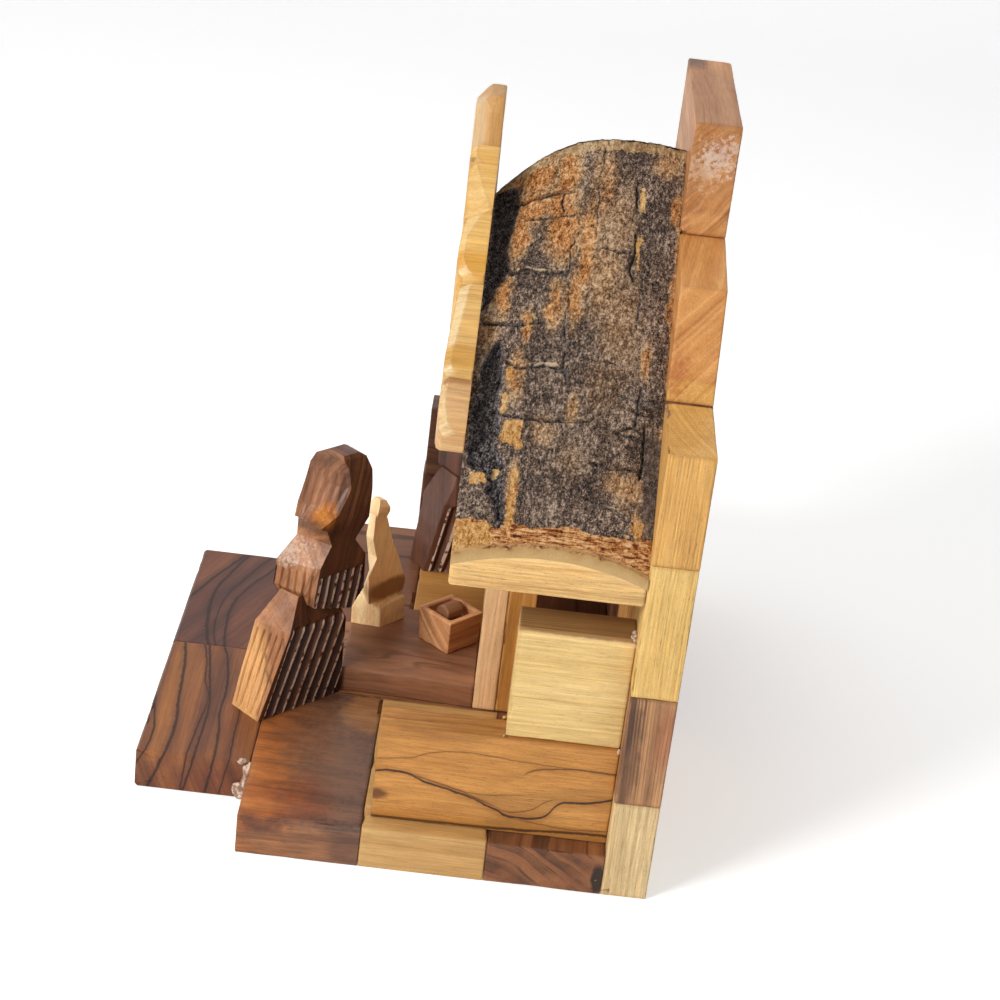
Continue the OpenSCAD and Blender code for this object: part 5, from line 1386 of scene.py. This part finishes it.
# each bead's centre and half sizes
whiteBeads = [
    ((49.2, -31.0, 7.6), (1.3, 1.0, 1.7)), ((49.4, -31.3, 4.6), (1.2, 1.0, 1.5)), ((49.2, -31.9, 2.4), (1.3, 1.8, 1.9)),
    ((49.1, -32.0, 0.9), (1.0, 1.4, 0.8)), ((48.8, -32.2, 9.2), (1.1, 1.3, 0.5)), ((62.6, 45.0, 57.7), (0.7, 0.8, 0.5)),
    ((61.0, 45.1, 57.6), (1.0, 0.6, 0.4)), ((63.1, 45.2, 56.6), (0.4, 0.5, 1.2)), ((64.2, 45.3, 31.8), (0.4, 0.4, 0.5))]
ochreBeads = [
    ((68.7, 46.6, 1.4), (0.34, 1.4, 0.6)), ((68.7, 46.9, 1.6), (0.34, 0.6, 1.5)), ((68.6, 47.8, 0.9), (0.4, 0.9, 0.5)),
    ((68.4, 44.2, 3.4), (0.6, 0.8, 0.7)), ((68.4, 44.6, 1.2), (0.6, 0.7, 0.9)), ((56.8, 21.6, 32.2), (0.3, 0.5, 0.5)),
    ((63.6, 21.9, 32.1), (0.4, 0.4, 0.3)), ((47.0, 45.6, 100.9), (1.6, 0.3, 0.35)),
    ((50.0, 45.7, 101.1), (2.0, 0.3, 0.3))]
for name, tint, slot, beads in (("glue_white", "cdb6a4", "olive_sapwood", whiteBeads),
                                ("glue_ochre", "b98a48", "olive_golden", ochreBeads)):
    glueBeads(name, glueMaterial(name + "_look", tint), beads)
print("glue made")


# floor, light, camera
def seenRays(tree):
    # 1 for rays that start at the camera or leave a glossy or a clear face
    rays = addNode(tree, "LightPath").outputs
    seen = sums(tree, "MAXIMUM", rays["Is Camera Ray"], rays["Is Glossy Ray"])
    return sums(tree, "MAXIMUM", seen, rays["Is Transmission Ray"])


def addStage():
    # a sheet of paper that lies under the stable and curves up behind it
    shape = {"halfLength": 1120, "halfWidth": 1400, "rise": 500, "curve": 260, "back": -620, "glow": 0.34}
    turn = np.linspace(0, math.pi / 2, 13)
    x = np.concatenate([[shape["halfLength"]], shape["back"] - shape["curve"] * np.sin(turn),
                        [shape["back"] - shape["curve"]]])
    z = np.concatenate([[0], shape["curve"] * (1 - np.cos(turn)), [shape["rise"]]])
    y = np.array([-1.0, 1.0]) * shape["halfWidth"]
    grid = np.stack([np.repeat(x, 2), np.tile(y, len(x)), np.repeat(z, 2)], axis=1)
    row = np.arange(len(x) - 1) * 2
    faces = np.stack([row, row + 1, row + 3, row + 2], axis=1)
    material, tree, shader = newMaterial("paper")
    feed(tree, shader, {"Base Color": (0.92, 0.92, 0.92, 1), "Emission Color": (1, 1, 1, 1), "Roughness": 0.9,
                        "Emission Strength": times(tree, seenRays(tree), shape["glow"])})
    mesh = bpy.data.meshes.new("floor")
    mesh.from_pydata((grid * mm).tolist(), [], faces.tolist())
    mesh.shade_smooth()
    mesh.materials.append(material)
    floor = linkObject("floor", mesh)
    floor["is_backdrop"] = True


def addLight(name, place, size, power, target=(0, 0, 60)):
    data = bpy.data.lights.new(name, "AREA")
    data.shape = "DISK"
    data.size = size * mm
    data.energy = power
    lamp = linkObject(name, data)
    aim = (Vector(target) - Vector(place)).to_track_quat("-Z", "Y").to_matrix().to_4x4()
    lamp.matrix_world = Matrix.Translation(Vector(place) * mm) @ aim


def addWorld(strength):
    # the camera sees white, also in glossy and clear faces; everything else gets a soft grey sky
    world = bpy.data.worlds.new("studio")
    world.use_nodes = True
    tree = world.node_tree
    tree.nodes.clear()
    level = addNode(tree, "Mix", {0: seenRays(tree), 2: strength, 3: 1.0}).outputs[0]
    sky = addNode(tree, "Background", {"Color": (1, 1, 1, 1), "Strength": level})
    addNode(tree, "OutputWorld", {"Surface": sky.outputs[0]}).is_active_output = True
    bpy.context.scene.world = world


def addCamera():
    view = {"place": (473.52, 11.14, 282.95), "turn": (64.020, -6.272, 92.485), "lens": 84.976, "sensor": 36}
    data = bpy.data.cameras.new("camera")
    data.lens = view["lens"]
    data.sensor_width = view["sensor"]
    data.sensor_fit = "HORIZONTAL"
    data.clip_start = 0.01
    data.clip_end = 10
    camera = linkObject("camera", data)
    camera.location = Vector(view["place"]) * mm
    camera.rotation_euler = [math.radians(a) for a in view["turn"]]
    bpy.context.scene.camera = camera


addStage()
addWorld(0.46)
addLight("key", (430, -420, 400), 220, 3.6)
addLight("fill", (460, 380, 240), 420, 0.35)
addLight("top", (-60, -120, 620), 300, 0.7)
addCamera()
bpy.context.scene.view_settings.view_transform = "Standard"
print("stage set")
